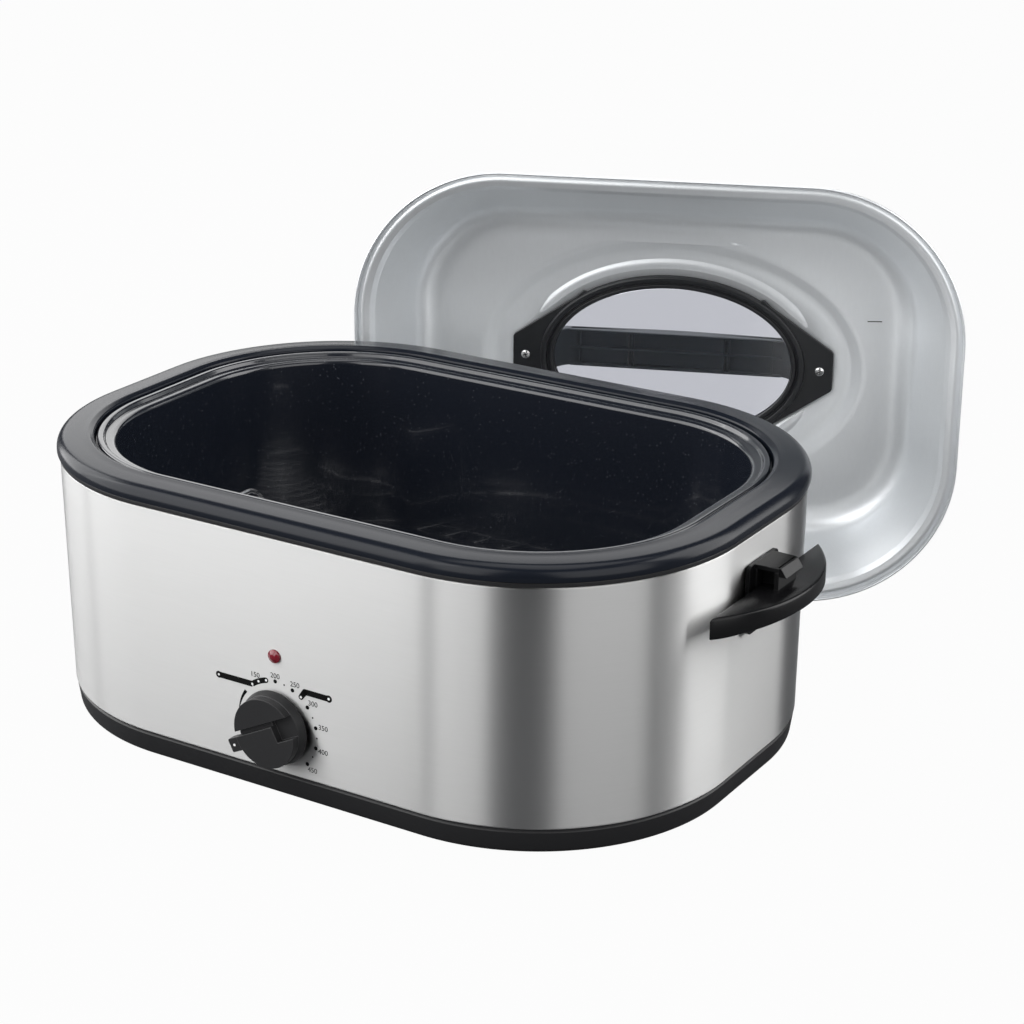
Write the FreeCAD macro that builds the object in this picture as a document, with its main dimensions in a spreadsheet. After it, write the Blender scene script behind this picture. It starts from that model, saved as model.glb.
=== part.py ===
"""Electric roaster oven with a lift-off lid, in millimetres.

+X is the oven's right, +Y its rear and +Z up.
The origin is under the oven's centre, on the plane of its feet.
"""
import FreeCAD, Part
import math
import os
import Sketcher

Vector = FreeCAD.Vector

# Driving sizes: alias, value in millimetres (or degrees where the note says so), note
SIZES = [
    ("body_length", 500.0, "steel wall, left to right at its top edge"),
    ("body_width", 356.0, "steel wall, front to rear at its top edge"),
    ("corner_radius", 142.6, "corner of the steel wall seen from above"),
    ("foot_proud", 1.5, "how far the feet stand out under the base"),
    ("foot_radius", 8.0, "rubber foot"),
    ("stem_radius", 2.6, "stem of a foot"),
    ("base_height", 17.7, "black base, from its underside to the steel wall"),
    ("base_inset", 2.4, "top edge of the base inside the steel wall"),
    ("base_draft", 2.2, "how much the base draws in towards its underside"),
    ("base_round", 4.5, "rounded lower edge of the base"),
    ("base_gauge", 3.0, "wall of the base moulding"),
    ("base_flange", 21.0, "floor flange of the base moulding"),
    ("wall_height", 161.9, "steel wall"),
    ("wall_taper", 1.8, "how much narrower the steel wall is at its lower edge, each side"),
    ("wall_gauge", 0.8, "steel wall sheet"),
    ("wall_flange", 11.0, "turned-in edges of the steel wall"),
    ("trim_height", 3.2, "bead between the steel wall and the rim"),
    ("trim_width", 9.0, "bead between the steel wall and the rim"),
    ("rim_gap", 0.3, "space between the bead and the rim skirt"),
    ("rim_overhang", 2.0, "rim outside the steel wall"),
    ("rim_bend", 8.0, "rounded outer edge of the rim"),
    ("rim_skirt", 9.6, "height of the rim above the bead"),
    ("rim_width", 24.0, "flat top of the rim, from its outer edge inwards"),
    ("rim_crown", 1.6, "rise of the flat top towards its inner edge"),
    ("liner_gauge", 1.5, "enamelled steel of the well"),
    ("ledge_drop", 7.5, "inner edge of the rim down to the ledge that carries the pan"),
    ("ledge_width", 12.5, "ledge that carries the pan"),
    ("well_draft", 5.0, "how much the well narrows towards its floor"),
    ("well_corner", 20.0, "round between the well's wall and floor"),
    ("well_floor", 38.0, "upper face of the well's floor above the table"),
    ("pan_gauge", 1.2, "enamelled steel of the pan"),
    ("pan_clear", 0.3, "space under the pan's rim"),
    ("pan_side_gap", 1.6, "space between the pan's rim and the step of the well"),
    ("pan_rim_width", 13.0, "flat rim of the pan"),
    ("pan_rim_height", 4.6, "rolled edge of the pan's rim"),
    ("pan_draft", 5.5, "how much the pan narrows towards its floor"),
    ("pan_corner", 22.0, "round between the pan's wall and floor"),
    ("pan_floor_gap", 3.0, "space between the pan and the well's floor"),
    ("rib_height", 1.6, "pressed rib in the pan's floor"),
    ("rib_inset", 96.0, "pressed rib inside the steel wall's outline"),
    ("rack_inset", 68.0, "rack's outer wire inside the steel wall's outline"),
    ("rack_wire", 5.0, "outer wire of the rack, diameter"),
    ("cross_wire", 3.2, "cross wires of the rack, diameter"),
    ("cross_pitch", 26.0, "spacing of the cross wires"),
    ("rack_stand", 8.0, "height of the rack's feet"),
    ("rack_lift", 62.0, "height of the rack's lifting loops"),
    ("rack_loop", 90.0, "width of the rack's lifting loops"),
    ("element_radius", 3.3, "heating element tube"),
    ("element_gap", 30.0, "space between the ends of a heating element"),
    ("element_low", 84.0, "lower heating element above the table"),
    ("element_pitch", 34.0, "spacing of the two heating elements"),
    ("blanket_thick", 11.0, "insulation blanket"),
    ("blanket_height", 84.0, "insulation blanket"),
    ("plate_gauge", 0.8, "bottom plate and inner brackets"),
    ("vent_length", 60.0, "vent slot of the bottom plate"),
    ("vent_width", 4.0, "vent slot of the bottom plate"),
    ("vent_pitch", 14.0, "spacing of the vent slots"),
    ("reflector_inset", 40.0, "heat reflector inside the steel wall's outline"),
    ("reflector_height", 16.0, "wall of the heat reflector"),
    ("reflector_stand", 8.0, "posts that carry the heat reflector"),
    ("screw_radius", 2.0, "thread of the screws"),
    ("screw_head", 3.6, "head of the screws, radius"),
    ("head_thick", 2.0, "head of the screws"),
    ("screw_clear", 0.25, "screw holes, added to the radius"),
    ("dial_height", 52.0, "knob axis above the table"),
    ("knob_radius", 24.5, "control knob"),
    ("knob_depth", 15.0, "disc of the knob"),
    ("grip_depth", 3.0, "grip bar in front of the knob's disc"),
    ("grip_width", 8.0, "grip bar at its root"),
    ("tab_depth", 6.0, "pointer tab at the front of the knob"),
    ("pointer_reach", 30.5, "tip of the pointer from the knob's axis"),
    ("pointer_width", 9.0, "pointer at the edge of the knob"),
    ("knob_gap", 1.0, "space between the knob and the steel wall"),
    ("shaft_radius", 3.0, "thermostat shaft"),
    ("shaft_seat", 10.0, "length of the shaft inside the thermostat"),
    ("socket_depth", 11.0, "socket of the knob for the shaft"),
    ("shaft_clear", 0.05, "running fit of the shaft in the thermostat"),
    ("shaft_hole", 4.2, "hole for the shaft in the steel wall, radius"),
    ("thermostat_depth", 16.0, "thermostat behind its bracket"),
    ("lamp_height", 101.0, "pilot lamp above the table"),
    ("lamp_radius", 4.6, "pilot lamp lens"),
    ("lamp_hole", 3.6, "hole for the pilot lamp, radius"),
    ("gland_height", 42.0, "cord gland above the table"),
    ("gland_side", 62.0, "cord gland to the right of the middle"),
    ("gland_hole", 6.0, "hole for the cord gland, radius"),
    ("gland_bore", 3.6, "bore of the cord gland, radius"),
    ("handle_half", 76.0, "half length of a handle's shelf"),
    ("handle_bulge", 30.0, "how far the shelf reaches beyond its straight edge"),
    ("handle_stand", 5.0, "space between the shelf's straight edge and the steel wall"),
    ("handle_drop", 46.6, "underside of a handle's skirt below the top of the steel wall"),
    ("handle_skirt", 14.3, "height of a handle's skirt at its ends"),
    ("handle_arch", 6.0, "how far the skirt's lower edge arches up"),
    ("handle_skin", 3.5, "top of the shelf and its skirt, thickness"),
    ("block_half", 14.0, "half width of a handle's block"),
    ("block_depth", 19.5, "reach of a handle's block from the wall"),
    ("block_drop", 17.8, "top of a handle's block below the top of the steel wall"),
    ("mount_drop", 65.1, "lower end of a handle's mounting plate below the top of the steel wall"),
    ("block_flange", 20.0, "half width of the flange against the wall"),
    ("flange_thick", 3.0, "flange against the wall"),
    ("nib_reach", 5.0, "sloped nib in front of the block that stops the lid's edge"),
    ("nib_height", 6.0, "sloped nib in front of the block"),
    ("lid_length", 460.4, "lid, long way"),
    ("lid_width", 323.8, "lid, short way"),
    ("lid_radius", 116.7, "corner of the lid's outline"),
    ("lid_gauge", 1.0, "sheet of the lid"),
    ("lid_flange", 13.0, "flat edge of the lid"),
    ("lid_depth", 60.0, "depth of the lid's main panel"),
    ("lid_slope", 44.0, "how much the lid draws in over its depth"),
    ("lid_step", 5.0, "step up to the oval panel"),
    ("oval_length", 292.0, "oval panel, long way"),
    ("oval_width", 192.0, "oval panel, short way"),
    ("window_length", 182.0, "window opening, long way"),
    ("window_width", 114.0, "window opening, short way"),
    ("frame_rim", 8.0, "black ring around the window"),
    ("frame_thick", 4.0, "black ring around the window"),
    ("glass_thick", 4.0, "window glass"),
    ("glass_clear", 0.2, "space around the glass"),
    ("plate_reach", 124.0, "tip of the ring's end plates from the middle"),
    ("plate_tip", 38.0, "width of the end plates at their tip"),
    ("plate_root", 92.0, "width of the end plates where they meet the ring"),
    ("plate_thick", 2.6, "end plates of the ring"),
    ("lid_screw", 113.0, "lid screws from the middle"),
    ("strap_width", 30.0, "lid handle's strap"),
    ("strap_thick", 5.0, "lid handle's strap"),
    ("strap_rise", 30.0, "lid handle above its feet"),
    ("bead_height", 2.2, "raised beads beside the window"),
    ("bead_width", 8.0, "raised beads beside the window"),
    ("bead_out", 22.0, "raised beads outside the window opening"),
    ("lid_yaw", 21.4, "degrees, how far the standing lid is turned"),
    ("lid_right", 27.0, "standing lid's middle, right of the oven's middle"),
    ("lid_behind", 262.0, "standing lid's middle, behind the oven's middle"),
]

doc = FreeCAD.newDocument("roaster_oven")
sheet = doc.addObject("Spreadsheet::Sheet", "Sizes")
for row, (alias, value, note) in enumerate(SIZES, start=1):
    sheet.set(f"A{row}", alias)
    sheet.set(f"B{row}", repr(value))
    sheet.set(f"C{row}", note)
    sheet.setAlias(f"B{row}", alias)
doc.recompute()


class Size:
    """A length that knows its value and the sheet expression that gives it."""

    def __init__(self, value, text):
        self.value = float(value)
        self.text = text

    def __add__(self, other):
        other = as_size(other)
        return Size(self.value + other.value, f"({self.text} + {other.text})")

    def __sub__(self, other):
        other = as_size(other)
        return Size(self.value - other.value, f"({self.text} - {other.text})")

    def __mul__(self, other):
        other = as_size(other)
        return Size(self.value * other.value, f"({self.text} * {other.text})")

    def __truediv__(self, other):
        other = as_size(other)
        return Size(self.value / other.value, f"({self.text} / {other.text})")

    def __radd__(self, other):
        return as_size(other) + self

    def __rsub__(self, other):
        return as_size(other) - self

    def __rmul__(self, other):
        return as_size(other) * self

    def __neg__(self):
        return Size(-self.value, f"(0 - {self.text})")


def as_size(number):
    """A plain number as a size; sizes pass through."""
    if isinstance(number, Size):
        return number
    text = repr(number) if number >= 0 else f"({number!r})"
    return Size(number, text)


def size(alias):
    """The size with this alias, read back from the sheet."""
    return Size(sheet.get(alias), f"Sizes.{alias}")


# Outline and levels that many pieces share
half_length = size("body_length") / 2
half_width = size("body_width") / 2
corner = size("corner_radius")
base_bottom = size("foot_proud")
base_top = base_bottom + size("base_height")
wall_top = base_top + size("wall_height")
rim_bottom = wall_top + size("trim_height") + size("rim_gap")
rim_crease = rim_bottom + size("rim_skirt")
rim_top = rim_crease + size("rim_crown")
rim_inner = size("rim_width") - size("rim_overhang")
ledge = rim_top - size("ledge_drop")
ledge_inner = rim_inner + size("liner_gauge") + size("ledge_width")
well_wall = ledge_inner + size("well_draft")
plate_level = base_bottom + size("base_gauge")
handle_low = wall_top - size("handle_drop")
block_top = wall_top - size("block_drop")
block_bottom = wall_top - size("mount_drop")
PARTS = {}
KNOB_OFF = -116.6


def bind(obj, prop, length):
    """Set a property from the sheet."""
    obj.setExpression(prop, as_size(length).text)


def new_body(label):
    """A sub-part's body."""
    body = doc.addObject("PartDesign::Body", label)
    body.Label = label
    PARTS[label] = body
    return body


def new_sketch(body, plane, offset=None):
    """A sketch on one of the body's own origin planes, moved along the plane's normal."""
    sketch = body.newObject("Sketcher::SketchObject", f"{body.Name}_sketch")
    face = [item for item in body.Origin.OriginFeatures if item.Role == plane][0]
    sketch.AttachmentSupport = [(face, "")]
    sketch.MapMode = "FlatFace"
    if offset is not None:
        bind(sketch, "AttachmentOffset.Base.z", offset)
    return sketch


def draw(sketch, corners, closed=True):
    """Straight runs through corners, each (x, y) or (x, y, fillet radius), all set from the sheet."""
    corners = [tuple(as_size(item) for item in spot) for spot in corners]
    points = [Vector(spot[0].value, spot[1].value, 0) for spot in corners]
    count = len(points)
    first = sketch.GeometryCount
    runs = count if closed else count - 1
    for i in range(runs):
        sketch.addGeometry(Part.LineSegment(points[i], points[(i + 1) % count]), False)
    for i in range(runs if closed else runs - 1):
        sketch.addConstraint(Sketcher.Constraint("Coincident", first + i, 2, first + (i + 1) % runs, 1))
    for i, spot in enumerate(corners):
        line, end = (first + i, 1) if i < runs else (first + runs - 1, 2)
        for kind, length in (("DistanceX", spot[0]), ("DistanceY", spot[1])):
            index = sketch.addConstraint(Sketcher.Constraint(kind, -1, 1, line, end, length.value))
            bind(sketch, f"Constraints[{index}]", length)
    for i, spot in enumerate(corners):
        if len(spot) == 3:
            before = points[i] + (points[i - 1] - points[i]) * 0.01
            after = points[i] + (points[(i + 1) % count] - points[i]) * 0.01
            known = sketch.GeometryCount
            sketch.fillet(first + (i - 1) % count, first + i, before, after, spot[2].value, True, True)
            arcs = [g for g in range(known, sketch.GeometryCount) if "Arc" in sketch.Geometry[g].TypeId]
            index = sketch.addConstraint(Sketcher.Constraint("Radius", arcs[0], spot[2].value))
            bind(sketch, f"Constraints[{index}]", spot[2])


def draw_circle(sketch, x, y, radius):
    """A circle, set from the sheet."""
    x, y, radius = as_size(x), as_size(y), as_size(radius)
    middle = Vector(x.value, y.value, 0)
    circle = sketch.addGeometry(Part.Circle(middle, Vector(0, 0, 1), radius.value), False)
    for kind, length in (("DistanceX", x), ("DistanceY", y)):
        index = sketch.addConstraint(Sketcher.Constraint(kind, -1, 1, circle, 3, length.value))
        bind(sketch, f"Constraints[{index}]", length)
    index = sketch.addConstraint(Sketcher.Constraint("Radius", circle, radius.value))
    bind(sketch, f"Constraints[{index}]", radius)


def draw_ellipse(sketch, half_x, half_y):
    """An ellipse about the sketch's origin, set from the sheet."""
    half_x, half_y = as_size(half_x), as_size(half_y)
    shape = Part.Ellipse(Vector(half_x.value, 0, 0), Vector(0, half_y.value, 0), Vector(0, 0, 0))
    ellipse = sketch.addGeometry(shape, False)
    sketch.exposeInternalGeometry(ellipse)
    sketch.addConstraint(Sketcher.Constraint("Coincident", ellipse, 3, -1, 1))
    sketch.addConstraint(Sketcher.Constraint("Horizontal", ellipse + 1))
    for line, length in ((ellipse + 1, half_x), (ellipse + 2, half_y)):
        index = sketch.addConstraint(Sketcher.Constraint("Distance", line, length.value * 2))
        bind(sketch, f"Constraints[{index}]", length * 2)


def loft(body, kind, levels):
    """Blend between ellipses, each (half_x, half_y, level), added to the body or cut from it."""
    sketches = []
    for half_x, half_y, level in levels:
        sketch = new_sketch(body, "XY_Plane", level)
        draw_ellipse(sketch, half_x, half_y)
        sketches.append(sketch)
    made = body.newObject(f"PartDesign::{kind}Loft", f"{body.Name}_{kind}Loft")
    made.Profile = sketches[0]
    made.Sections = sketches[1:]
    made.Ruled = True
    return made


def rounded_box(half_x, half_y, radius):
    """Corners of a rounded rectangle about the origin."""
    signs = ((-1, -1), (1, -1), (1, 1), (-1, 1))
    return [(half_x * sx, half_y * sy, radius) for sx, sy in signs]


def box(low_x, low_y, high_x, high_y):
    """Corners of a plain rectangle."""
    return [(low_x, low_y), (high_x, low_y), (high_x, high_y), (low_x, high_y)]


def outline(inset):
    """The steel wall's outline seen from above, drawn in by an inset."""
    return rounded_box(half_length - inset, half_width - inset, corner - inset)


def feature(body, kind, sketch, **bound):
    """A sketch-based feature; lengths are bound to the sheet and flags are set plainly."""
    made = body.newObject(f"PartDesign::{kind}", f"{body.Name}_{kind}")
    made.Profile = sketch
    for prop, value in bound.items():
        if isinstance(value, (bool, str)):
            setattr(made, prop, value)
        else:
            bind(made, prop, value)
    return made


def pad(body, sketch, length, **flags):
    """Add material along the sketch's normal."""
    return feature(body, "Pad", sketch, Length=length, **flags)


def pocket(body, sketch, length, **flags):
    """Take material away against the sketch's normal."""
    return feature(body, "Pocket", sketch, Length=length, **flags)


def revolve(body, sketch, axis="V_Axis"):
    """Turn a sketch about one of its own axes."""
    made = body.newObject("PartDesign::Revolution", f"{body.Name}_Revolution")
    made.Profile = sketch
    made.ReferenceAxis = (sketch, [axis])
    made.Angle = 360.0
    return made


def ring(body, spine_corners, profile_corners):
    """Sweep a profile, drawn in the YZ plane on the front run, round a closed spine."""
    spine = new_sketch(body, "XY_Plane")
    draw(spine, spine_corners)
    profile = new_sketch(body, "YZ_Plane")
    draw(profile, profile_corners)
    return sweep(body, profile, spine)


def sweep(body, profile, spine):
    """Carry a profile along a spine."""
    made = body.newObject("PartDesign::AdditivePipe", f"{body.Name}_Pipe")
    made.Profile = profile
    made.Spine = (spine, [])
    return made


def front(inset):
    """Place of an inset from the steel wall's outline in a profile on the YZ plane."""
    return inset - half_width


def place(part, x, y, z, axis=Vector(0, 0, 1), angle=0.0):
    """Put a sub-part where the sheet says, turned about an axis."""
    part.Placement = FreeCAD.Placement(Vector(0, 0, 0), FreeCAD.Rotation(axis, angle))
    for name, length in (("x", x), ("y", y), ("z", z)):
        bind(part, f"Placement.Base.{name}", length)


def group(label, pieces):
    """Several like solids as one sub-part."""
    made = doc.addObject("Part::Compound", label)
    made.Label = label
    made.Links = pieces
    for piece in pieces:
        PARTS.pop(piece.Label, None)
    PARTS[label] = made
    return made


def copies(label, body, spots):
    """One body repeated at several spots, each (x, y, z, axis, angle), as one sub-part."""
    pieces = []
    for i, (x, y, z, axis, angle) in enumerate(spots):
        link = doc.addObject("Part::Compound", f"{label}_{i + 1}")
        link.Links = [body]
        place(link, x, y, z, axis, angle)
        pieces.append(link)
    PARTS.pop(body.Label)
    return group(label, pieces)


def outer_shell():
    """Wraparound steel wall: drawn-in lower edge, turned-in flanges and holes for what passes through."""
    body = new_body("outer_shell")
    gauge, flange, taper = size("wall_gauge"), size("wall_flange"), size("wall_taper")
    ring(body, outline(0), [
        (front(taper), base_top), (front(0), wall_top), (front(flange), wall_top),
        (front(flange), wall_top - gauge), (front(gauge), wall_top - gauge),
        (front(taper + gauge), base_top + gauge), (front(taper + flange), base_top + gauge),
        (front(taper + flange), base_top)])
    holes = new_sketch(body, "XZ_Plane")
    draw_circle(holes, 0, size("dial_height"), size("shaft_hole"))
    draw_circle(holes, 0, size("lamp_height"), size("lamp_hole"))
    pocket(body, holes, half_width + 5, Reversed=True)
    rear = new_sketch(body, "XZ_Plane")
    draw_circle(rear, size("gland_side"), size("gland_height"), size("gland_hole"))
    pocket(body, rear, half_width + 5)
    ends = new_sketch(body, "YZ_Plane")
    for level in handle_screw_levels():
        draw_circle(ends, 0, level, size("screw_radius") + size("screw_clear"))
    pocket(body, ends, size("body_length") + 20, Midplane=True)


def base_ring():
    """Moulded base: tapered skirt, rounded foot edge and a floor flange for feet and screws."""
    body = new_body("base_ring")
    inset, draft, gauge = size("base_inset"), size("base_draft"), size("base_gauge")
    low = inset + draft
    ring(body, outline(0), [
        (front(inset), base_top), (front(low), base_bottom, size("base_round")),
        (front(low + size("base_flange")), base_bottom), (front(low + size("base_flange")), plate_level),
        (front(low + gauge), plate_level), (front(inset + gauge), base_top)])
    holes = new_sketch(body, "XY_Plane")
    for x, y in screw_spots():
        draw_circle(holes, x, y, size("screw_radius") + size("screw_clear"))
    for x, y in foot_spots():
        draw_circle(holes, x, y, size("stem_radius"))
    pocket(body, holes, plate_level + 1, Reversed=True)
    sinks = new_sketch(body, "XY_Plane")
    for x, y in screw_spots():
        draw_circle(sinks, x, y, size("screw_head") + size("screw_clear"))
    pocket(body, sinks, base_bottom + size("base_gauge") / 2, Reversed=True)


def flange_line():
    """Inset of the line through the middle of the base's floor flange."""
    return size("base_inset") + size("base_draft") + size("base_flange") - 8


def foot_spots():
    """Feet under the four corners, on the 45 degree line of each corner."""
    reach = (corner - flange_line()) * math.sqrt(0.5)
    x = half_length - corner + reach
    y = half_width - corner + reach
    return [(x * sx, y * sy) for sx, sy in ((1, -1), (1, 1), (-1, 1), (-1, -1))]


def screw_spots():
    """Base screws along the straight stretches."""
    x = (half_length - corner) * 0.75
    y = half_width - flange_line()
    end = half_length - flange_line()
    return [(x, -y), (x, y), (-x, y), (-x, -y), (end, as_size(0)), (-end, as_size(0))]


def rubber_feet():
    """Four push-in rubber feet."""
    for i, (x, y) in enumerate(foot_spots(), start=1):
        body = new_body(f"rubber_foot_{i}")
        half = new_sketch(body, "XZ_Plane")
        radius, stem = size("foot_radius"), size("stem_radius")
        top = plate_level + size("plate_gauge")
        draw(half, [
            (0, 0), (radius - 1.2, 0), (radius, 1.2), (radius, base_bottom), (stem, base_bottom),
            (stem, top), (stem + 0.9, top + 0.4), (stem - 0.8, top + 3), (0, top + 3)])
        revolve(body, half)
        place(body, x, y, 0)


def bottom_plate():
    """Pressed bottom plate on the base flange, with vent slots and two stiffening ribs."""
    body = new_body("bottom_plate")
    gauge = size("plate_gauge")
    inset = size("base_inset") + size("base_draft") + size("base_gauge") + 1
    sheet_outline = new_sketch(body, "XY_Plane", plate_level)
    draw(sheet_outline, outline(inset))
    pad(body, sheet_outline, gauge)
    rib_half, rib_width, rib_rise = half_length * 0.6, 9, 4
    ribs = new_sketch(body, "YZ_Plane")
    for side in (-1, 1):
        middle = half_width * 0.42 * side
        draw(ribs, [
            (middle - rib_width, plate_level + gauge / 2), (middle + rib_width, plate_level + gauge / 2),
            (middle + rib_width / 2, plate_level + rib_rise),
            (middle - rib_width / 2, plate_level + rib_rise)])
    pad(body, ribs, rib_half * 2, Midplane=True)
    slots = new_sketch(body, "XY_Plane")
    half, end = size("vent_length") / 2, size("vent_width") / 2
    for side in (-1, 1):
        for step in (-1.5, -0.5, 0.5, 1.5):
            x = size("vent_pitch") * step + half_length * 0.36 * side
            draw(slots, box(x - end, -half, x + end, half))
    pocket(body, slots, plate_level + 10, Reversed=True)
    holes = new_sketch(body, "XY_Plane")
    for x, y in screw_spots():
        draw_circle(holes, x, y, size("screw_radius") * 0.8)
    for x, y in foot_spots():
        draw_circle(holes, x, y, size("stem_radius"))
    pocket(body, holes, plate_level + 10, Reversed=True)


def screw(label, length):
    """Pan-head screw, head at the origin and thread along +Z, with a cross recess."""
    body = new_body(label)
    half = new_sketch(body, "XZ_Plane")
    thread, head, thick = size("screw_radius") * 0.8, size("screw_head"), size("head_thick")
    draw(half, [(0, -thick), (head * 0.55, -thick), (head, -thick * 0.35), (head, 0), (thread, 0),
                (thread, length), (0, length)])
    revolve(body, half)
    cross = new_sketch(body, "XY_Plane", -thick)
    arm, web = head * 0.5, head * 0.13
    draw(cross, [(-arm, -web), (-web, -web), (-web, -arm), (web, -arm), (web, -web), (arm, -web),
                 (arm, web), (web, web), (web, arm), (-web, arm), (-web, web), (-arm, web)])
    pocket(body, cross, thick * 0.5, Reversed=True)
    return body


def base_screws():
    """Six screws that clamp the bottom plate on the base."""
    level = base_bottom + size("base_gauge") / 2
    body = screw("base_screw", size("base_gauge") / 2 + size("plate_gauge") + 4)
    upright = Vector(0, 0, 1)
    copies("base_screws", body, [(x, y, level, upright, 0.0) for x, y in screw_spots()])


def rim_trim():
    """Thin bead between the steel wall's top flange and the rim skirt."""
    body = new_body("rim_trim")
    height, width = size("trim_height"), size("trim_width")
    ring(body, outline(0), [
        (front(-0.8), wall_top), (front(-0.8), wall_top + height, 1.2), (front(width), wall_top + height),
        (front(width), wall_top)])


def well_liner():
    """Enamelled well in one pressing: rounded rim, crowned flat top, pan ledge, walls and floor."""
    body = new_body("well_liner")
    gauge, over, bend = size("liner_gauge"), size("rim_overhang"), size("rim_bend")
    floor, round_in = size("well_floor"), size("well_corner")
    floor_edge = well_wall + round_in + 4
    ring(body, outline(0), [
        (front(-over), rim_bottom), (front(-over), rim_crease, bend), (front(rim_inner), rim_top, 2.2),
        (front(rim_inner + gauge), ledge, 1.5), (front(ledge_inner), ledge, 4),
        (front(well_wall), floor, round_in), (front(floor_edge), floor), (front(floor_edge), floor - gauge),
        (front(well_wall - gauge), floor - gauge, round_in + gauge),
        (front(ledge_inner - gauge), ledge - gauge, 2.5),
        (front(rim_inner), ledge - gauge, 1.5 + gauge), (front(rim_inner - gauge), rim_top - gauge, 0.7),
        (front(gauge - over), rim_crease - gauge, bend - gauge), (front(gauge - over), rim_bottom)])
    floor_sheet = new_sketch(body, "XY_Plane", floor - gauge)
    draw(floor_sheet, outline(floor_edge - 1))
    pad(body, floor_sheet, gauge)


pan_edge = rim_inner + size("liner_gauge") + size("pan_side_gap")
pan_inner = pan_edge + size("pan_rim_width")
pan_rim_low = ledge + size("pan_clear")
pan_rim_top = pan_rim_low + size("pan_rim_height")
pan_floor = size("well_floor") + size("pan_floor_gap") + size("pan_gauge")
pan_wall = pan_inner + size("pan_draft")


def roasting_pan():
    """Lift-out enamelled pan: turned-down rim that hangs on the ledge, drawn walls and a ribbed floor."""
    body = new_body("roasting_pan")
    gauge, round_in = size("pan_gauge"), size("pan_corner")
    floor_edge = pan_wall + round_in + 6
    ring(body, outline(0), [
        (front(pan_edge), pan_rim_low), (front(pan_edge), pan_rim_top, 2.4),
        (front(pan_inner), pan_rim_top, 4),
        (front(pan_wall), pan_floor, round_in), (front(floor_edge), pan_floor),
        (front(floor_edge), pan_floor - gauge),
        (front(pan_wall - gauge), pan_floor - gauge, round_in + gauge),
        (front(pan_inner - gauge), pan_rim_top - gauge, 2.8),
        (front(pan_edge + gauge), pan_rim_top - gauge, 1.2),
        (front(pan_edge + gauge), pan_rim_low)])
    floor_sheet = new_sketch(body, "XY_Plane", pan_floor - gauge)
    draw(floor_sheet, outline(floor_edge - 1))
    pad(body, floor_sheet, gauge)
    rise, inset, half = size("rib_height"), size("rib_inset"), 4
    ring(body, outline(inset), [
        (front(inset) - half, pan_floor - gauge / 2), (front(inset) + half, pan_floor - gauge / 2),
        (front(inset) + half / 2, pan_floor + rise), (front(inset) - half / 2, pan_floor + rise)])


def roasting_rack():
    """Wire rack: outer wire, cross wires and legs that stand on the pan's floor, outside its rib."""
    body = new_body("roasting_rack")
    inset, wire, thin = size("rack_inset"), size("rack_wire") / 2, size("cross_wire") / 2
    level = rack_level()
    spine = new_sketch(body, "XY_Plane", level)
    draw(spine, outline(inset))
    section = new_sketch(body, "YZ_Plane")
    draw_circle(section, front(inset), level, wire)
    sweep(body, section, spine)
    across = new_sketch(body, "XZ_Plane")
    for step in range(-5, 6):
        draw_circle(across, size("cross_pitch") * step, level, thin)
    pad(body, across, (half_width - inset) * 2 - wire, Midplane=True)
    along = new_sketch(body, "YZ_Plane")
    for side in (-1, 1):
        draw_circle(along, (half_width - inset) * 0.5 * side, level - thin * 1.6, thin)
    pad(body, along, (half_length - inset) * 2 - 10, Midplane=True)
    legs = new_sketch(body, "XY_Plane", pan_floor + 0.3)
    for sx in (-1, 1):
        for sy in (-1, 1):
            draw_circle(legs, (half_length - corner) * 0.9 * sx, (half_width - inset) * sy, wire * 0.8)
    pad(body, legs, size("rack_stand"))


def rack_level():
    """Middle of the rack's outer wire."""
    return pan_floor + 0.3 + size("rack_stand")


def rack_loops():
    """Lifting loops of wire at the rack's two ends."""
    pieces = []
    wire = size("rack_wire") / 2 * 0.8
    for label, side in (("rack_loop_left", -1), ("rack_loop_right", 1)):
        body = new_body(label)
        x = (half_length - size("rack_inset") - size("rack_wire") / 2 - wire - 0.05) * side
        half = size("rack_loop") / 2
        spine = new_sketch(body, "YZ_Plane", x)
        low, high = rack_level(), rack_level() + size("rack_lift")
        draw(spine, [(-half, low), (-half, high, 20), (half, high, 20), (half, low)], closed=False)
        section = new_sketch(body, "XY_Plane", low)
        draw_circle(section, x, -half, wire)
        sweep(body, section, spine)
        pieces.append(body)
    return pieces


def element_inset(level):
    """Middle of a heating element at this level, where its tube rests against the drafted well."""
    drawn_in = size("well_draft") * (ledge - level) / (ledge - size("well_floor"))
    return ledge_inner + drawn_in - size("liner_gauge") - size("element_radius") - 0.1


def heating_elements():
    """Two tube elements that run round the well, open at the front for their connections."""
    pieces = []
    for i in range(2):
        body = new_body(f"element_{i + 1}")
        level = size("element_low") + size("element_pitch") * i
        gap = size("element_gap") / 2
        inset = element_inset(level)
        corners = outline(inset)
        spine = new_sketch(body, "XY_Plane", level)
        low_y = front(inset)
        draw(spine, [(gap, low_y)] + corners[1:] + corners[:1] + [(-gap, low_y)], closed=False)
        section = new_sketch(body, "YZ_Plane", gap)
        draw_circle(section, low_y, level, size("element_radius"))
        sweep(body, section, spine)
        pieces.append(body)
    group("heating_elements", pieces)


def insulation_blanket():
    """Mineral wool blanket round the heating elements."""
    body = new_body("insulation_blanket")
    upper = element_inset(size("element_low") + size("element_pitch"))
    inner = upper - size("element_radius") - 0.3
    low = size("element_low") - 10
    ring(body, outline(0), box(front(inner - size("blanket_thick")), low, front(inner),
                               low + size("blanket_height")))


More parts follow.
